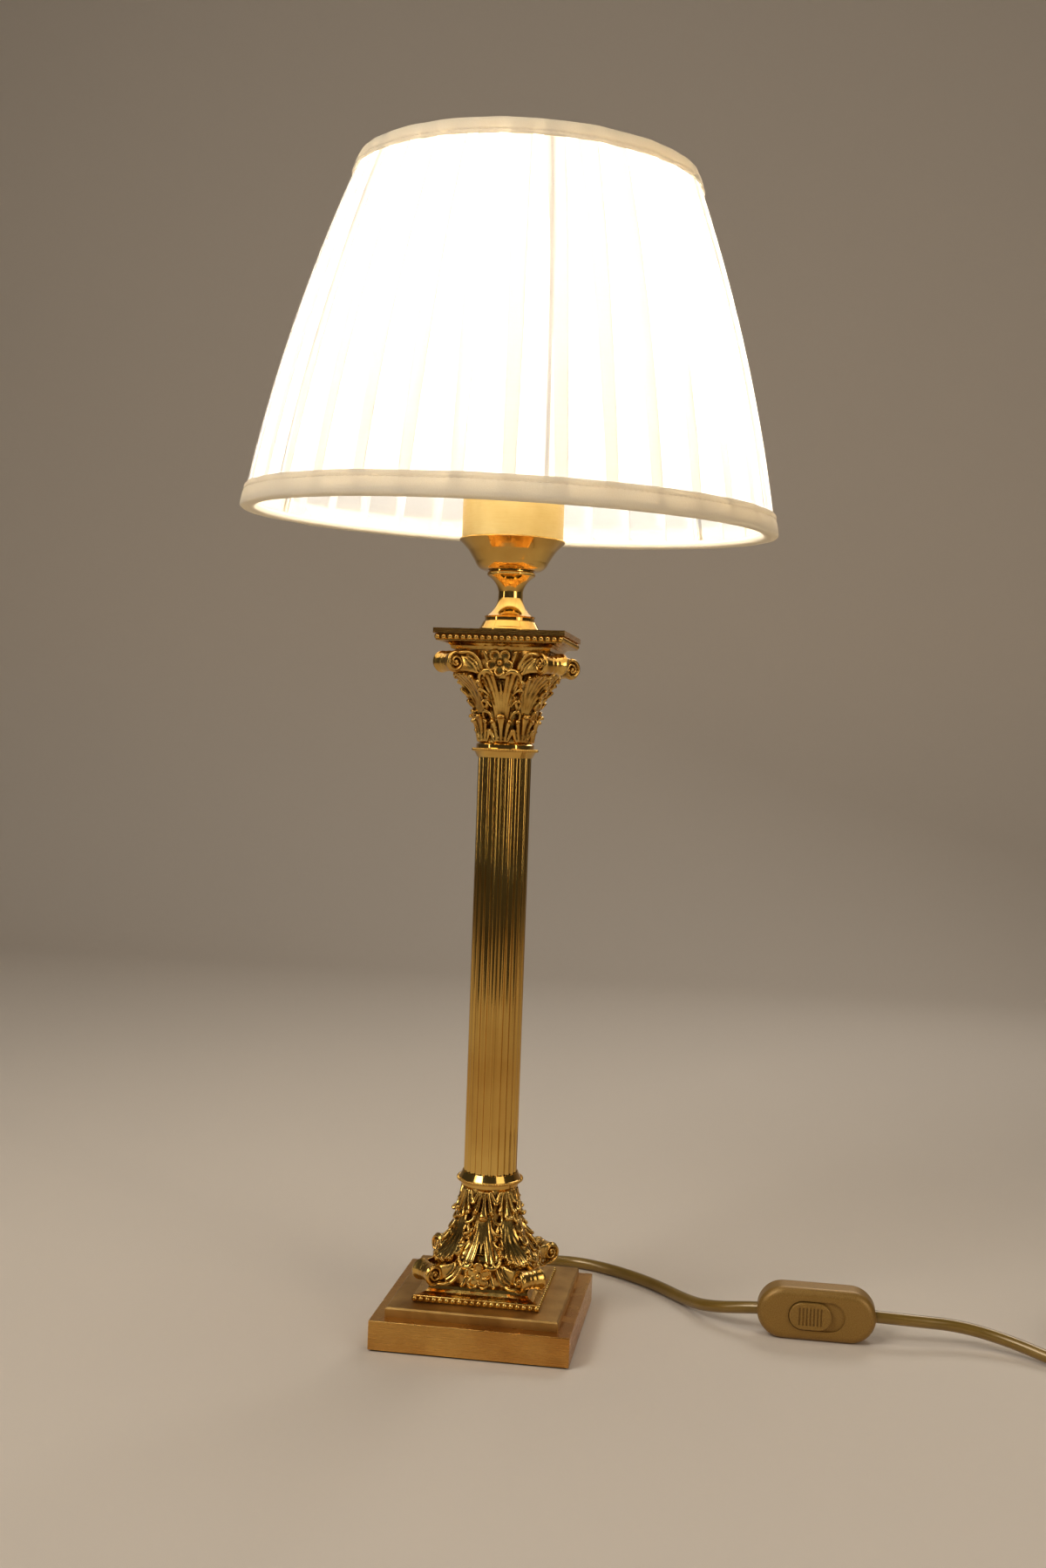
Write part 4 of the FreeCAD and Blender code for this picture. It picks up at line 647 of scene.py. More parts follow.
# %% Plate and bell
# side of the square, and height
SQUARE_LINE = [(52.0, 48.6), (52.8, 50.2), (55.2, 51.5), (59.6, 52.1), (64.6, 52.3), (65.6, 52.4),
               (65.9, 52.6), (65.9, 53.1), (65.4, 53.4), (64.0, 53.5), (64.0, CAST_TALL - 0.1),
               (10.6, CAST_TALL), (10.6, 48.6)]
BORE_R, CIRCLE_POINTS = 5.3, 64
turned_line = [(BORE_R, 0.0)] + [(r, z) for z, r in BELL_LINE] + [(BORE_R, 52.0)]


def rings(outline, around, ring_at):
    """A closed solid whose outline runs round the middle: ring_at gives each ring's points."""
    verts = [v for radius, z in outline for v in ring_at(radius, z)]
    return verts, walls(len(outline), around, closed=True)


def square(side, z):
    """Four corners of a square of this side."""
    corners = ((-1, -1), (1, -1), (1, 1), (-1, 1))
    return [Vector((x * side / 2, y * side / 2, z)) for x, y in corners]


def circle(radius, z):
    """Points round a circle."""
    turn_at = [math.tau * j / CIRCLE_POINTS for j in range(CIRCLE_POINTS)]
    return [Vector((radius * math.cos(a), radius * math.sin(a), z)) for a in turn_at]


# %% Four quarters, and the melt
MELT_SIZE, KEPT_SHARE = 0.36, 0.42


def four_times(parts, *whole):
    """A mesh in metres of a quarter's parts turned to all four sides, and of whole parts."""
    verts, faces = [], []
    turned_parts = []
    for k in range(4):
        quarter = Matrix.Rotation(math.pi / 2 * k, 3, "Z")
        turned_parts += [([quarter @ v for v in drawn], part_faces) for drawn, part_faces in parts]
    for part_verts, part_faces in turned_parts + list(whole):
        base = len(verts)
        verts += [v * MM for v in part_verts]
        faces += [tuple(base + i for i in face) for face in part_faces]
    mesh = new_mesh("parts", verts, faces, [False] * len(faces))
    bm = bmesh.new()
    bm.from_mesh(mesh)
    bmesh.ops.recalc_face_normals(bm, faces=bm.faces)
    bm.to_mesh(mesh)
    bm.free()
    return mesh


def melted(mesh):
    """One skin round closed, overlapping parts, a little rounded."""
    loose = put("loose", mesh)
    remesh = loose.modifiers.new("melt", "REMESH")
    remesh.mode = "VOXEL"
    remesh.voxel_size = MELT_SIZE * MM
    soften = loose.modifiers.new("soften", "SMOOTH")
    soften.factor = 0.5
    soften.iterations = 3
    lighten = loose.modifiers.new("lighten", "DECIMATE")
    lighten.ratio = KEPT_SHARE
    finished = loose.evaluated_get(bpy.context.evaluated_depsgraph_get())
    skin = bpy.data.meshes.new_from_object(finished)
    bpy.data.objects.remove(loose)
    return skin


skin = melted(four_times(cast_loose, rings(turned_line, CIRCLE_POINTS, circle)))
chased = four_times(cast_chased, rings(SQUARE_LINE, 4, square))
print("melted skin", len(skin.polygons), "faces; chased parts", len(chased.polygons))

# %% [markdown]
# ### Where the tarnish lies
# A polishing wheel reaches the crests and never the hollows. Each point is compared
# with the even surface round it: one that lies below it is in a hollow. This is worked
# out once from the shape and kept on its points, so it stays right from every side.

# %% Hollows, and the finished casting
HOLLOW_FULL = 0.3                   # mm below the even surface that count as fully hollow
CHASED_POLISH = -0.3                # chased parts stand proud, so they count as crests
PLATE_FACE = 4.0                    # mm2: only the plate's own faces are larger, and flat


def hollows(mesh, rounds=8):
    """How deep each point lies in a hollow, from -1 on a crest to 1 in a groove."""
    count = len(mesh.vertices)
    co, normal = np.zeros(count * 3), np.zeros(count * 3)
    mesh.vertices.foreach_get("co", co)
    mesh.vertices.foreach_get("normal", normal)
    co, normal = co.reshape(-1, 3), normal.reshape(-1, 3)
    edges = np.zeros(len(mesh.edges) * 2, int)
    mesh.edges.foreach_get("vertices", edges)
    a, b = edges.reshape(-1, 2).T
    degree = np.bincount(np.concatenate([a, b]), minlength=count)[:, None]
    even = co.copy()
    for _ in range(rounds):
        near = [np.bincount(a, even[b, n], count) + np.bincount(b, even[a, n], count)
                for n in range(3)]
        even = np.stack(near, axis=1) / degree
    return np.clip(np.einsum("ij,ij->i", even - co, normal) / (HOLLOW_FULL * MM), -1, 1)


def keep_hollow(mesh, values):
    """Keeps a value for each point, where a material can read it."""
    attribute = mesh.attributes.new("hollow", "FLOAT", "POINT")
    attribute.data.foreach_set("value", values.astype(np.float32))


depth = hollows(skin)
keep_hollow(skin, depth)
keep_hollow(chased, np.full(len(chased.vertices), CHASED_POLISH))
bm = bmesh.new()
bm.from_mesh(skin)
bm.from_mesh(chased)
for face in bm.faces:
    face.smooth = face.calc_area() < PLATE_FACE * MM ** 2
casting_mesh = bpy.data.meshes.new("casting")
bm.to_mesh(casting_mesh)
bm.free()
in_hollows = round(float((depth > 0.3).mean()), 2)
print("casting", len(casting_mesh.polygons), "faces; share in hollows", in_hollows)

# %% [markdown]
# ## Cast brass
# Bright crests and dark hollows make a casting read as cast. The brass is the polished
# kind with pores from the sand, and the hollow value mixes in brown tarnish.

# %% Cast brass, and both castings in place
BRASS_TARNISH = "#3E270D"
cast_brass, tree, surface, _, place = start_material("cast_brass")
surface.inputs["Metallic"].default_value = 1.0
patches = {"Vector": place, "Scale": per_mm(9.0), "Detail": 4.0}
slow = add(tree, "ShaderNodeTexNoise", patches)
polished = tint(tree, surface, slow.outputs[0], PATCH_LOW, PATCH_HIGH, (BRASS, BRASS_DEEP))
# sand leaves pores under 1 mm: the ones here are larger, or the render would lose them
pores = add(tree, "ShaderNodeTexNoise", {"Vector": place, "Scale": per_mm(2.2), "Detail": 3.0})
mark(tree, surface, pores.outputs[0], 0.02, (0.16, 0.28))
hollow = add(tree, "ShaderNodeAttribute", attribute_name="hollow")
span = {"Value": hollow.outputs["Fac"], "From Min": 0.02, "From Max": 0.75}
dark = add(tree, "ShaderNodeMapRange", span)
ends = {"Factor": dark.outputs[0], MIX_A: polished, MIX_B: linear(BRASS_TARNISH)}
toned = add(tree, "ShaderNodeMix", ends, data_type="RGBA")
tree.links.new(toned.outputs[MIX_RESULT], surface.inputs["Base Color"])

capital = new_piece("capital", casting_mesh, cast_brass, "lamp", "brass", "capital_casting")
capital.location = (0, 0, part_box("capital_casting")[0].z)
foot = new_piece("foot", casting_mesh.copy(), cast_brass, "lamp", "brass", "foot_casting")
foot.rotation_euler = (math.pi, 0, 0)
foot.location = (0, 0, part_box("foot_casting")[1].z)
print("capital stands at", round(capital.location.z, 4),
      "and the foot hangs from", round(foot.location.z, 4))

# %% [markdown]
# ## Bead rings
# A knurling wheel rolls a row of small beads round each collar. A bump would leave the
# collar's outline plain, so each bead is a small ball of its own, half in the collar.

# %% Bead rings on the collars
BEAD_RING_R, BEAD_PITCH, BEAD_UP = 17.1, 1.4, 3.4
BEAD_SIZE = (0.8, 0.58, 0.85)       # half its depth, width and height


def bead_ring(name, z):
    """A ring of small upright beads round a collar, as a knurling wheel leaves them."""
    count = round(math.tau * BEAD_RING_R / BEAD_PITCH)
    bm = bmesh.new()
    for k in range(count):
        around = Matrix.Rotation(math.tau * k / count, 4, "Z")
        at = Matrix.Translation(Vector((BEAD_RING_R, 0, z)) * MM)
        size = Matrix.Diagonal((*[half * MM for half in BEAD_SIZE], 1))
        bmesh.ops.create_uvsphere(bm, u_segments=8, v_segments=6, radius=1.0,
                                  matrix=around @ at @ size)
    for face in bm.faces:
        face.smooth = True
    mesh = bpy.data.meshes.new(name)
    bm.to_mesh(mesh)
    bm.free()
    print(name, "has", count, "beads")
    return new_piece(name, mesh, spun_brass, "lamp", "brass")


bead_ring("upper_beads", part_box("upper_collar")[1].z / MM - BEAD_UP)
bead_ring("lower_beads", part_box("lower_collar")[0].z / MM + BEAD_UP)

# %% [markdown]
# ## Steel, iron, felt and the fittings inside
# These hide inside the lamp, but they show through the shade's mouth or from below.
# Each gets the surface of its process. One function serves them all, because at this
# size a plain material is two close colours in patches and a fine bump.


# %% Plain materials
def plain(name, colour, other, roughness, metallic, size, depth):
    """A surface with two close colours in patches and a fine bump of the same size, in mm."""
    material, tree, surface, _, place = start_material(name)
    surface.inputs["Metallic"].default_value = metallic
    surface.inputs["Roughness"].default_value = roughness
    cloud = add(tree, "ShaderNodeTexNoise", {"Vector": place, "Scale": per_mm(size), "Detail": 4.0})
    tint(tree, surface, cloud.outputs[0], NOISE_LOW, NOISE_HIGH, (colour, other))
    mark(tree, surface, cloud.outputs[0], depth)
    return material


# Plated in a bath: pale, a little patchy, and never quite a mirror.
dress(plain("zinc_plated_steel", "#B9BBB4", "#9FA29B", 0.32, 1.0, 6.0, 0.01),
      "threaded_rod", "base_washer", "base_nut", "cup_nut", "switch_screws", "bottom_plate")
# Poured in sand and left as it came: dark, dull and pitted.
dress(plain("cast_iron", "#3B3937", "#2A2826", 0.75, 0.6, 1.5, 0.15), "base_weight")
# Pressed from wool: no shine at all. Its fibres are drawn as tufts of about 1 mm.
dress(plain("wool_felt", "#2F3B32", "#38463B", 0.95, 0.0, 0.9, 0.3), "base_felt")
# Moulded under heat: smooth, dark brown and slightly oily.
dress(plain("phenolic_resin", "#2A211B", "#221A15", 0.35, 0.0, 8.0, 0.01),
      "holder_cap", "holder_body", "shade_ring_nut")
# Fired without a glaze: chalky, cream white and matt.
dress(plain("steatite_ceramic", "#E8E2D2", "#DED6C4", 0.6, 0.0, 2.0, 0.05), "terminal_insert")
# Stamped from sheet and not polished: yellower and softer than the stand.
dress(plain("stamped_brass", "#D2AB62", "#BE9650", 0.3, 1.0, 5.0, 0.01),
      "screw_shell", "centre_contact", "switch_contacts")
# Rolled thin: grey, with a soft shine.
dress(plain("rolled_aluminium", "#C9C9C6", "#B5B5B1", 0.35, 1.0, 4.0, 0.01), "bulb_cap", "bulb_tip")
# Melted into the cap: black and glossy.
dress(plain("black_cap_glass", "#14141A", "#1C1C22", 0.15, 0.0, 6.0, 0.01), "bulb_insulator")
# Plated and polished: warmer than steel and nearly a mirror.
dress(plain("nickel_plated_brass", "#C9C5BA", "#B6B1A5", 0.2, 1.0, 6.0, 0.005), "plug_pins")
# Baked powder on wire: an even, fine orange peel, drawn a little coarser than it is.
dress(plain("white_powder_coat", "#E9E4D8", "#DFD9CB", 0.5, 0.0, 0.8, 0.04),
      "shade_bottom_ring", "shade_top_ring", "shade_struts", "shade_spider")
print("materials so far:", len(bpy.data.materials))

# %% [markdown]
# ## Gold plastics
# Switch, plug and gland are moulded in a gold-coloured ABS: the sparkle is mica in the
# plastic, so it is a dull gloss and no mirror. The cord is PVC of the same family but
# clearer, so light enters it and it looks olive where it is thick. A little metallic
# stands for the mica, which would be too small to draw flake by flake.

# %% Gold ABS and the PVC sheath
# Moulded: an even, dull gloss. The mica shows as specks of 0.6 mm, many times its size.
gold_abs = plain("gold_abs", "#8A6528", "#A27C3A", 0.42, 0.35, 0.6, 0.02)
dress(gold_abs, "switch_front", "switch_back", "switch_slider", "plug_body", "cord_gland")
# Drawn out warm over the wires: the skin is clearer and glossier than what lies under it.
gold_pvc = plain("gold_pvc", "#7E6120", "#8F7030", 0.3, 0.25, 14.0, 0.01)
sheath = gold_pvc.node_tree.nodes["Principled BSDF"]
sheath.inputs["Coat Weight"].default_value = 0.4
sheath.inputs["Coat Roughness"].default_value = 0.2
dress(gold_pvc, "inner_flex")
print("gold plastics:", gold_abs.name, "and", gold_pvc.name)

# %% [markdown]
# ## The cord
# About 1.8 m of round lead, 6.5 mm thick. It leaves the plinth's back through a tapered
# gland, lies on the table in one slack bend, goes through the switch and out of the
# view. What a buyer would tie up in the box is wound into a coil beside the lamp. One
# smooth NURBS line has the same points as the CAD route: it bends as a lead does,
# because each point only pulls at it.

# %% Route of the cord
CORD_D = 6.5
LAMP_SIDE = [
    (0.0, 54.0, 7.0), (0.0, 86.0, 7.0), (11.0, 102.7, 4.2), (29.3, 110.7, 3.3), (50.0, 105.5, 3.3),
    (70.0, 93.5, 3.3), (88.0, 78.5, 3.3), (105.0, 57.0, 3.8), (119.5, 36.0, 8.2),
    (149.9, 24.8, 14.6),
]
MAINS_SIDE = [
    (201.5, 26.4, 14.2), (227.0, 28.0, 13.0), (252.0, 32.5, 11.0), (277.0, 26.0, 7.5),
    (302.0, 9.0, 3.6), (328.0, -0.3, 3.3), (347.5, -0.4, 3.3),
]
TAIL = [(398.8, 52.5, 10.4), (398.8, 64.5, 10.4), (399.1, 78.0, 7.4), (399.2, 86.0, 6.85),
        (399.2, 94.0, 6.85)]
COIL_AT = (354.0, 46.0)
COIL_R, COIL_STEP, COIL_RISE = 46.4, 6.6, 7.1
TURNS_IN, TURNS_CLIMB, TURNS_OUT = 3.0, 0.5, 2.75
COIL_DIP = 0.8
POINTS_A_TURN = 16
COIL_START = -math.pi / 2


def coil_point(turns):
    """Spirals in on the table, climbs for half a turn, and spirals out on top."""
    low = CORD_D / 2 + 0.05
    inner = COIL_R - COIL_STEP * TURNS_IN
    share = (turns - TURNS_IN) / TURNS_CLIMB
    if share < 0:
        r, z = COIL_R - COIL_STEP * turns, low
    elif share < 1:
        r = inner - COIL_DIP * math.sin(math.pi * share) ** 2
        z = low + COIL_RISE * (1 - math.cos(math.pi * share)) / 2
    else:
        r, z = inner + COIL_STEP * (turns - TURNS_IN - TURNS_CLIMB), low + COIL_RISE
    angle = math.tau * turns + COIL_START
    # a control point stands a little outside the line that it pulls
    r /= math.cos(math.pi / POINTS_A_TURN) ** 2
    return (COIL_AT[0] + r * math.cos(angle), COIL_AT[1] + r * math.sin(angle), z)


turns = TURNS_IN + TURNS_CLIMB + TURNS_OUT
steps = round(turns * POINTS_A_TURN)
coil = [coil_point(turns * k / steps) for k in range(steps + 1)]
route = [tuple(x * MM for x in point) for point in LAMP_SIDE + MAINS_SIDE + coil + TAIL]
print("cord has", len(route), "points")

# %% The cord on its route
cord_curve = bpy.data.curves.new("cord", "CURVE")
cord_curve.dimensions = "3D"
spline = cord_curve.splines.new("NURBS")
spline.points.add(len(route) - 1)
for point, at in zip(spline.points, route):
    point.co = (*at, 1.0)
spline.order_u = 3
spline.use_endpoint_u = True
spline.resolution_u = 8
cord_curve.bevel_depth = CORD_D / 2 * MM
cord_curve.bevel_resolution = 6
cord_curve.use_fill_caps = True
cord_curve.materials.append(gold_pvc)
cord = put("cord", cord_curve)
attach(cord, "lamp")
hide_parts("cord_lamp_side", "cord_mains_side", "cord_coil", "cord_tail")

# %% [markdown]
# ## The pleated shade
# The cloth is one long strip in knife pleats: forward to a fold, back under it, and
# forward again. Every overlap is three layers, which let less light through than one,
# so the overlaps read as darker strips. The strip is as long at the head as at the
# foot, so the overlaps grow while the shade narrows. A cloth simulation would relax the
# pleats, and here they are sewn and stretched, so they are drawn fold by fold.

# %% The shade's line, and its lean
FOOT_Z, SHADE_TALL, FOOT_R, HEAD_R, SIDE_BOW = 429.4, 184.9, 141.2, 88.0, 5.4
HEAD_Z = FOOT_Z + SHADE_TALL
LEAN = math.radians(3.1)
LEAN_HEADING = math.radians(-57.0)
lean_axis = Vector((-math.sin(LEAN_HEADING), math.cos(LEAN_HEADING), 0))
lean_pivot = Vector((0, 0, 520.0))
lean_turn = Matrix.Rotation(LEAN, 3, lean_axis)


def shade_r(z):
    """The cloth's radius at a height, as the CAD has it: a straight side with an even bow."""
    share = (z - FOOT_Z) / SHADE_TALL
    return FOOT_R + (HEAD_R - FOOT_R) * share + SIDE_BOW * 4 * share * (1 - share)


def leant(r, angle, z):
    """A place on the upright shade, in mm, where the leaning shade has it, in metres."""
    upright = Vector((r * math.cos(angle), r * math.sin(angle), z))
    return (lean_turn @ (upright - lean_pivot) + lean_pivot) * MM


print("the shade leans", round(math.degrees(LEAN), 1), "degrees")

# %% Where each pleat starts
PLEATS = 36
PITCH = math.tau / PLEATS
OVERLAP_FOOT = 5.6
PLEAT_CLOTH = FOOT_R * PITCH + 2 * OVERLAP_FOOT
SEWN_ASTRAY, SWAY = 0.045, 0.012    # shares of a pitch
chance = np.random.default_rng(7)
shift_foot = chance.uniform(-SEWN_ASTRAY, SEWN_ASTRAY, PLEATS)
shift_head = shift_foot * 0.5 + chance.uniform(-0.05, 0.05, PLEATS)
waver = chance.uniform(0, math.tau, PLEATS)


def pleat_starts(share):
    """The angle at which each pleat starts, at a share of the way up, and the first again."""
    starts = []
    for k in range(PLEATS):
        drift = shift_foot[k] * (1 - share) + shift_head[k] * share
        drift += SWAY * math.sin(5.0 * share + waver[k]) * math.sin(math.pi * share)
        starts.append(PITCH * (k + drift))
    return starts + [starts[0] + math.tau]


print("a pleat takes", round(PLEAT_CLOTH, 1), "mm of cloth")

# %% Cloth in knife pleats
LAYER = 0.5
ROWS = 30
CLOTH_INSET = 3.0                   # from the foot and from the head, under the trims
# along the cloth: share of the face, how many overlaps back, how many layers deep
FOLD = [(0, -1, -1.9), (0, -0.5, -2.0), (0, 0, -2.0), (0.25, 0, -1.45), (0.5, 0, -0.9),
        (0.75, 0, -0.4), (0.94, 0, -0.08), (1, 0, 0), (1.012, 0, -0.35), (1, -0.1, -0.75),
        (1, -0.5, -1.0), (1, -0.94, -1.1), (1, -1.03, -1.5)]

verts = []
for row in range(ROWS + 1):
    share = row / ROWS
    z = FOOT_Z + CLOTH_INSET + (SHADE_TALL - 2 * CLOTH_INSET) * share
    r = shade_r(z)
    overlap = (PLEAT_CLOTH - r * PITCH) / 2
    starts = pleat_starts(share)
    for k in range(PLEATS):
        pleat_face = starts[k + 1] - starts[k]
        for along, back, layers in FOLD:
            angle = starts[k] + pleat_face * along + back * overlap / r
            verts.append(leant(r + layers * LAYER, angle, z))
cloth_mesh = new_mesh("pleated_cloth", verts, walls(ROWS + 1, PLEATS * len(FOLD)))
print("pleated cloth", len(cloth_mesh.polygons), "faces")

# %% [markdown]
# ## Shade cloth
# A thin woven cotton, off white. Lit from behind it glows, so most of its light comes
# through and not off it: a translucent shader is mixed in. Its threads are about
# 0.25 mm apart, which is too fine to show, so the warp and the weft are drawn as slubs
# twice that size, one stretched up the shade and one round it.

# %% Shade cloth


def lit_through(tree, surface, output, colour, share):
    """Lets a share of the light from behind pass through a cloth."""
    glow = add(tree, "ShaderNodeBsdfTranslucent", {"Color": linear(colour)})
    mix = {0: share, 1: surface.outputs[0], 2: glow.outputs[0]}
    through = add(tree, "ShaderNodeMixShader", mix)
    tree.links.new(through.outputs[0], output.inputs["Surface"])


pleat_cloth, tree, surface, output, place = start_material("pleated_shade_cloth")
surface.inputs["Roughness"].default_value = 0.75
surface.inputs["Sheen Weight"].default_value = 0.25
warp = add(tree, "ShaderNodeMapping", {"Vector": place, "Scale": (1.0, 1.0, 0.05)})
weft = add(tree, "ShaderNodeMapping", {"Vector": place, "Scale": (0.05, 0.05, 1.0)})
threads = add(tree, "ShaderNodeTexNoise",
              {"Vector": warp.outputs[0], "Scale": per_mm(0.5), "Detail": 2.0})
slubs = add(tree, "ShaderNodeTexNoise",
            {"Vector": weft.outputs[0], "Scale": per_mm(0.6), "Detail": 2.0})
weave = add(tree, "ShaderNodeMath", {0: threads.outputs[0], 1: slubs.outputs[0]}, operation="ADD")
mark(tree, surface, weave.outputs[0], 0.12)
tint(tree, surface, weave.outputs[0], 0.7, 1.3, ("#F7F3EC", "#FDFBF7"))
lit_through(tree, surface, output, "#FFFCF8", 0.72)

cloth = new_piece("shade_cloth", cloth_mesh, pleat_cloth, "shade", "shade_cloth", "shade_fabric")
print("cloth in place with", len(cloth_mesh.vertices), "points")

# %% [markdown]
# ## Trims
# Each end of the shade is bound with a folded strip of the same cloth, which wraps the
# wire. Its seam lies near the edge towards the pleats. The pleats under it push it out
# a little, so it is never quite round. Its outline is drawn once and carried round the
# shade, and the stitches are small swellings of thread along the seam.

# %% Outline of a trim, and how uneven it is
TRIM_THICK = 1.1
WIRE_IN, WIRE_UP = 3.7, 3.0         # from the shade's edge to the wire, inwards and along
SEAM_AT = 0.76                      # share of the way from the edge
WAVES = (2, 3, 5, 9, 13, 17, 23)    # how many to the round


def outer_face(z_edge, tall, sign):
    """Finds places on a band's outer face. sign is 1 at the foot and -1 at the head."""
    out = shade_r(z_edge) + TRIM_THICK + 0.2
    far = shade_r(z_edge + sign * tall) + TRIM_THICK

    def side(share, lift):
        """Radius and height at a share of the way from the edge, lifted off the face."""
        return out + (far - out) * share + lift, z_edge + sign * tall * share

    return side


def trim_outline(z_edge, sign, r_wire, side):
    """Radius and height round a band: in over the wire, up its outside, and back within."""
    z_wire = z_edge + sign * WIRE_UP
    inner = -TRIM_THICK
    outline = [(r_wire - 2.9, z_wire + sign * 1.4), (r_wire - 3.2, z_wire - sign * 0.4),
               (r_wire - 2.2, z_wire - sign * 2.2), (r_wire, z_wire - sign * 2.8),
               (side(0, 0)[0] - 1.2, z_edge + sign * 0.35),
               side(0.08, -0.25), side(0.16, 0.05), side(0.30, 0.12), side(0.48, 0.14),
               side(0.62, 0.08), side(0.72, -0.1), side(SEAM_AT, -0.42), side(0.80, -0.1),
               side(0.88, 0.1), side(0.95, 0.0), side(1.0, -0.45),
               side(0.99, inner), side(0.8, inner - 0.2), side(0.4, inner - 0.4),
               (r_wire + 2.2, z_wire), (r_wire, z_wire - sign * 2.0), (r_wire - 2.0, z_wire)]
    return outline[::-1] if sign < 0 else outline


def unevenness(seed):
    """How far a band stands out at an angle, and how far its edge strays, in mm."""
    dice = np.random.default_rng(seed)
    waves = [(n, dice.uniform(0, math.tau), dice.uniform(0.03, 0.12)) for n in WAVES]

    def uneven(a):
        """The band's lift and stray at one angle."""
        wave = sum(size * math.sin(n * a + start) for n, start, size in waves)
        stray = sum(size * math.cos(n * a - 2 * start) for n, start, size in waves)
        return wave + 0.12 * math.cos(PLEATS * a), 1.3 * stray

    return uneven


# %% Bands with their seams
AROUND_TRIM = 360
EDGE_STRAYS = 0.6                   # share of the stray that a place takes on
STITCH_PITCH, STITCH_LONG, THREAD_R = 3.1, 2.2, 0.2
# along a stitch, from end to end: place, and share of the thread's radius
STITCH = ((-1, 0.35), (-0.75, 0.9), (0, 1.1), (0.75, 0.9), (1, 0.35))
THREAD_POINTS = 6


def band(outline, r_wire, uneven):
    """The outline carried round the shade. It is held still at the wire."""
    verts, faces = [], []
    rows = len(outline)
    for j in range(AROUND_TRIM):
        a = math.tau * j / AROUND_TRIM
        lift, stray = uneven(a)
        for r, z in outline:
            held = min(1.0, max(0.0, (r - r_wire) / 3.0))
            verts.append(leant(r + lift * held, a, z + stray * held * EDGE_STRAYS))
        i = (j + 1) % AROUND_TRIM
        for k in range(rows):
            m = (k + 1) % rows
            faces.append((j * rows + k, i * rows + k, i * rows + m, j * rows + m))
    return verts, faces


def sew(verts, faces, seam_r, seam_z, uneven):
    """Adds stitches along a seam."""
    count = round(math.tau * seam_r / STITCH_PITCH)
    for j in range(count):
        middle = math.tau * (j + 0.5) / count
        lift, stray = uneven(middle)
        base = len(verts)
        for t, thin in STITCH:
            a = middle + t * STITCH_LONG / 2 / seam_r
            dip = 0.16 * t * t
            for c in range(THREAD_POINTS):
                b = math.tau * c / THREAD_POINTS
                r = seam_r + lift - dip + THREAD_R * thin * math.cos(b)
                z = seam_z + stray * EDGE_STRAYS + THREAD_R * thin * math.sin(b) + 0.15 * t
                verts.append(leant(r, a, z))
        faces += walls(len(STITCH), THREAD_POINTS, start=base)
        faces += caps(len(STITCH), THREAD_POINTS, start=base)
    return count


def trim_piece(name, z_edge, tall, sign, node, seed):
    """A band round one end of the shade, with its seam."""
    r_wire = shade_r(z_edge + sign * WIRE_UP) - WIRE_IN
    side = outer_face(z_edge, tall, sign)
    uneven = unevenness(seed)
    verts, faces = band(trim_outline(z_edge, sign, r_wire, side), r_wire, uneven)
    print(name, "has", sew(verts, faces, *side(SEAM_AT, -0.2), uneven), "stitches")
    return new_piece(name, new_mesh(name, verts, faces), trim_cloth, "shade", "trim_cloth", node)


# The same cotton in a heavier weave and folded over: creamier, and half as much light
# comes through. Its threads are drawn about twice as coarse as they are.
trim_cloth, tree, surface, output, place = start_material("trim_cloth")
surface.inputs["Roughness"].default_value = 0.8
surface.inputs["Sheen Weight"].default_value = 0.3
weave = add(tree, "ShaderNodeTexNoise", {"Vector": place, "Scale": per_mm(0.45), "Detail": 2.0})
mark(tree, surface, weave.outputs[0], 0.15)
tint(tree, surface, weave.outputs[0], NOISE_LOW, NOISE_HIGH, ("#EFE7D2", "#F6F0E1"))
lit_through(tree, surface, output, "#FFF5E2", 0.4)

bottom_trim = trim_piece("bottom_trim", FOOT_Z, 12.2, 1, "shade_bottom_trim", 11)
top_trim = trim_piece("top_trim", HEAD_Z, 9.0, -1, "shade_top_trim", 12)
print("cloth strip", round(PLEATS * PLEAT_CLOTH), "mm long")

# %% [markdown]
# ## The bulb
# An opal bulb glows evenly over its glass. The glass gives off light in the picture but
# casts no shadow of its own, and a small round lamp at its middle lights the cloth, so
# the wires of the frame draw sharp lines on it. A glowing mesh alone would light the
# cloth too, but it takes far more samples to come out clean.

# %% Opal bulb
BULB_WARM = "#FFF8EC"
BULB_LAMP_DOWN = 0.035              # metres from the top of the glass to its middle
# Opal glass: milky, with a soft gloss where it isn't brighter than the room.
opal, _, surface, _, _ = start_material("opal_glass")
surface.inputs["Base Color"].default_value = linear("#FBF6EA")
surface.inputs["Roughness"].default_value = 0.35
surface.inputs["Emission Color"].default_value = linear(BULB_WARM)
surface.inputs["Emission Strength"].default_value = 3.0
dress(opal, "bulb_glass")
nodes["bulb_glass"].visible_shadow = False
bulb_lamp = bpy.data.lights.new("bulb_light", "POINT")
bulb_lamp.energy = 2.0
bulb_lamp.color = linear(BULB_WARM)[:3]
bulb_lamp.shadow_soft_size = 0.02
bulb_light = put("bulb_light", bulb_lamp)
bulb_light.location = (0, 0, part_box("bulb_glass")[1].z - BULB_LAMP_DOWN)
print("bulb light at", round(bulb_light.location.z, 3))

# %% [markdown]
# ## Floor, backdrop and studio light
# A pale table that curves up behind, a large soft light from the upper left, a weaker
# one from the right, one behind and a dim even sky. Brass only looks like brass when it
# has light and dark things to mirror. So two tall strips stand at the sides, which draw
# lines of light down the flutes, and the table ends a little over a metre in front of
# the lamp: the middle of the column mirrors the dark room beyond it, and its lower part
# mirrors the table.

# %% Floor and backdrop
FLOOR_NEAR, FLOOR_FAR, WALL_TOP, SWEEP, FLOOR_WIDE = -1.1, 1.3, 3.0, 0.5, 6.0
SWEEP_STEPS = 12
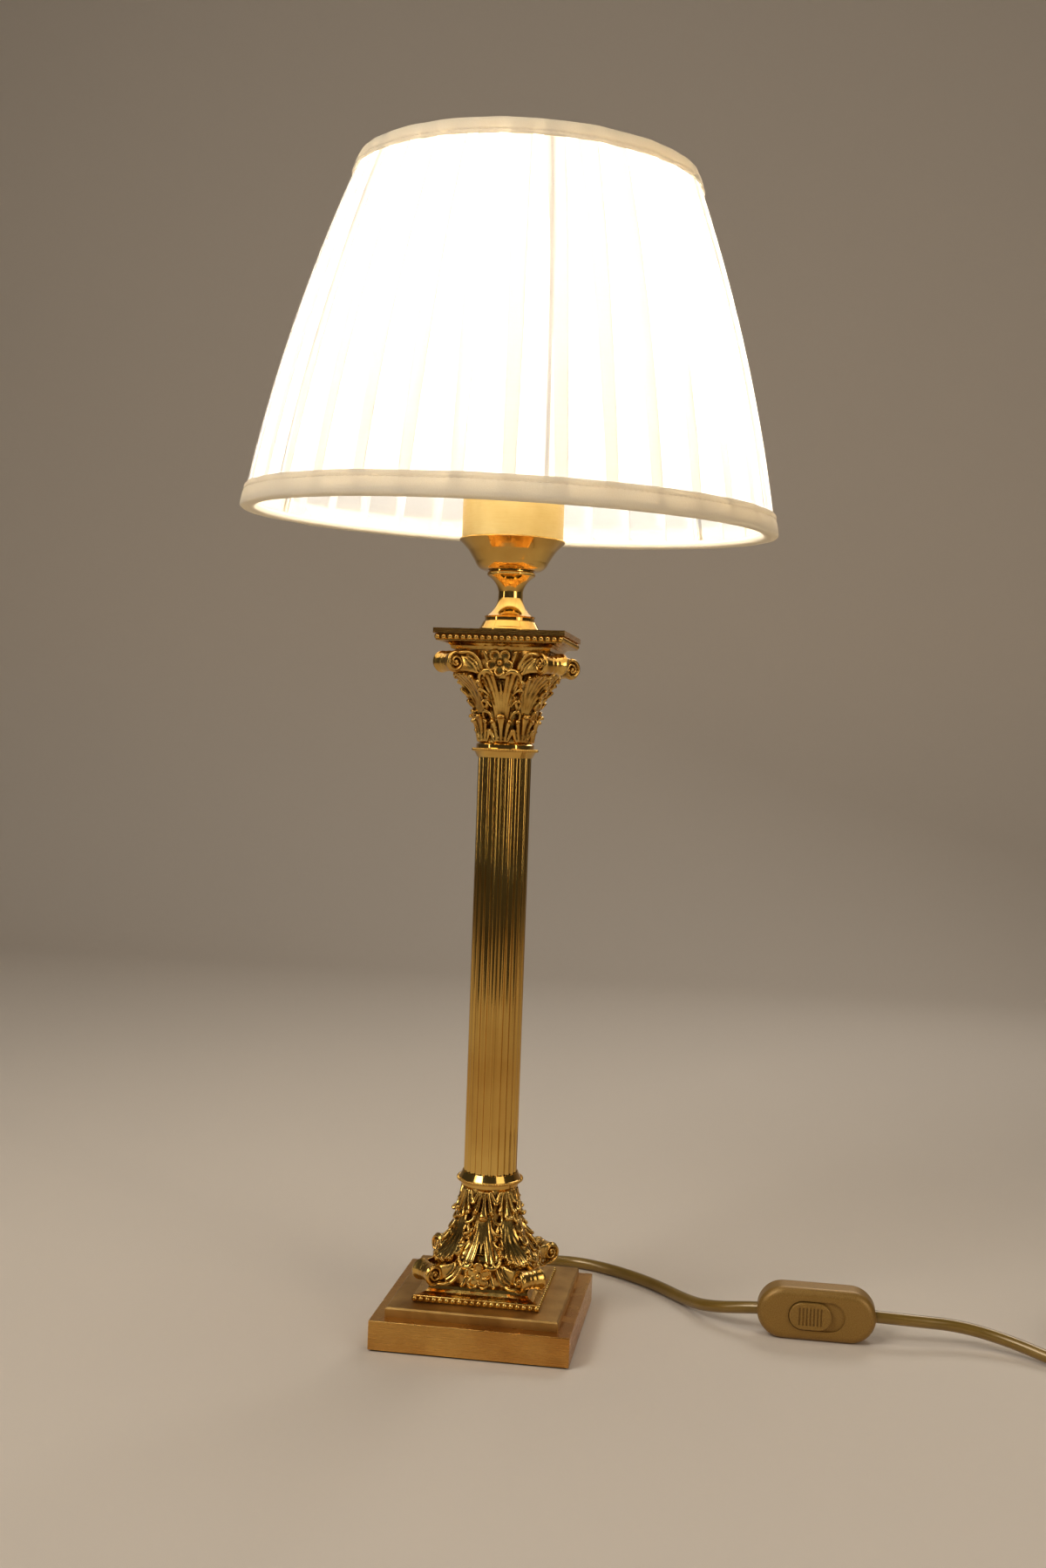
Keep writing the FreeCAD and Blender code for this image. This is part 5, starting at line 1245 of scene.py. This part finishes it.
# Uncoated paper off a roll: warm, even and without any shine.
floor_material, _, surface, _, _ = start_material("pale_paper")
surface.inputs["Base Color"].default_value = linear("#D8C9B6")
surface.inputs["Roughness"].default_value = 0.9
profile = [(FLOOR_NEAR, 0.0)]
for k in range(SWEEP_STEPS + 1):
    a = math.pi / 2 * k / SWEEP_STEPS
    profile.append((FLOOR_FAR + SWEEP * math.sin(a), SWEEP * (1 - math.cos(a))))
profile.append((FLOOR_FAR + SWEEP, WALL_TOP))
verts = [(x, y, z) for y, z in profile for x in (-FLOOR_WIDE / 2, FLOOR_WIDE / 2)]
faces = [(2 * k, 2 * k + 1, 2 * k + 3, 2 * k + 2) for k in range(len(profile) - 1)]
floor_mesh = new_mesh("floor", verts, faces)
floor_mesh.materials.append(floor_material)
floor = put("floor", floor_mesh)
print("floor reaches", -FLOOR_NEAR, "m in front of the lamp")


# %% Lights
def softbox(name, at, aim, size, watts, colour, outline="RECTANGLE"):
    """A flat lamp, so wide and high, that faces a point."""
    data = bpy.data.lights.new(name, "AREA")
    data.shape = outline
    data.size, data.size_y = size
    data.energy = watts
    data.color = linear(colour)[:3]
    lamp = put(name, data)
    lamp.visible_camera = False
    lamp.location = at
    lamp.rotation_euler = (Vector(at) - Vector(aim)).to_track_quat("Z", "Y").to_euler()


softbox("key", (-0.9, -1.1, 1.5), (0, 0, 0.3), (0.8, 0.8), 15.0, "#FFFFFF")
softbox("fill", (1.3, -0.9, 0.9), (0, 0, 0.25), (0.9, 0.9), 4.5, "#FFF4E6")
softbox("rim", (0.4, 1.1, 1.1), (0, 0, 0.35), (0.6, 0.6), 5.0, "#FFFFFF")
# the strips taper to their ends, so their lines on the flutes taper too
softbox("strip_left", (-1.5, -1.0, 0.72), (0, 0, 0.72), (0.12, 1.2), 2.6, "#FFF6E8", "ELLIPSE")
softbox("strip_right", (1.6, -1.2, 0.68), (0, 0, 0.68), (0.16, 1.2), 3.4, "#FFF6E8", "ELLIPSE")

world = bpy.data.worlds.new("studio")
bpy.context.scene.world = world
world.use_nodes = True
background = world.node_tree.nodes["Background"]
background.inputs["Color"].default_value = linear("#DED6CB")
background.inputs["Strength"].default_value = 0.08
print("lamps:", len(bpy.data.lights))
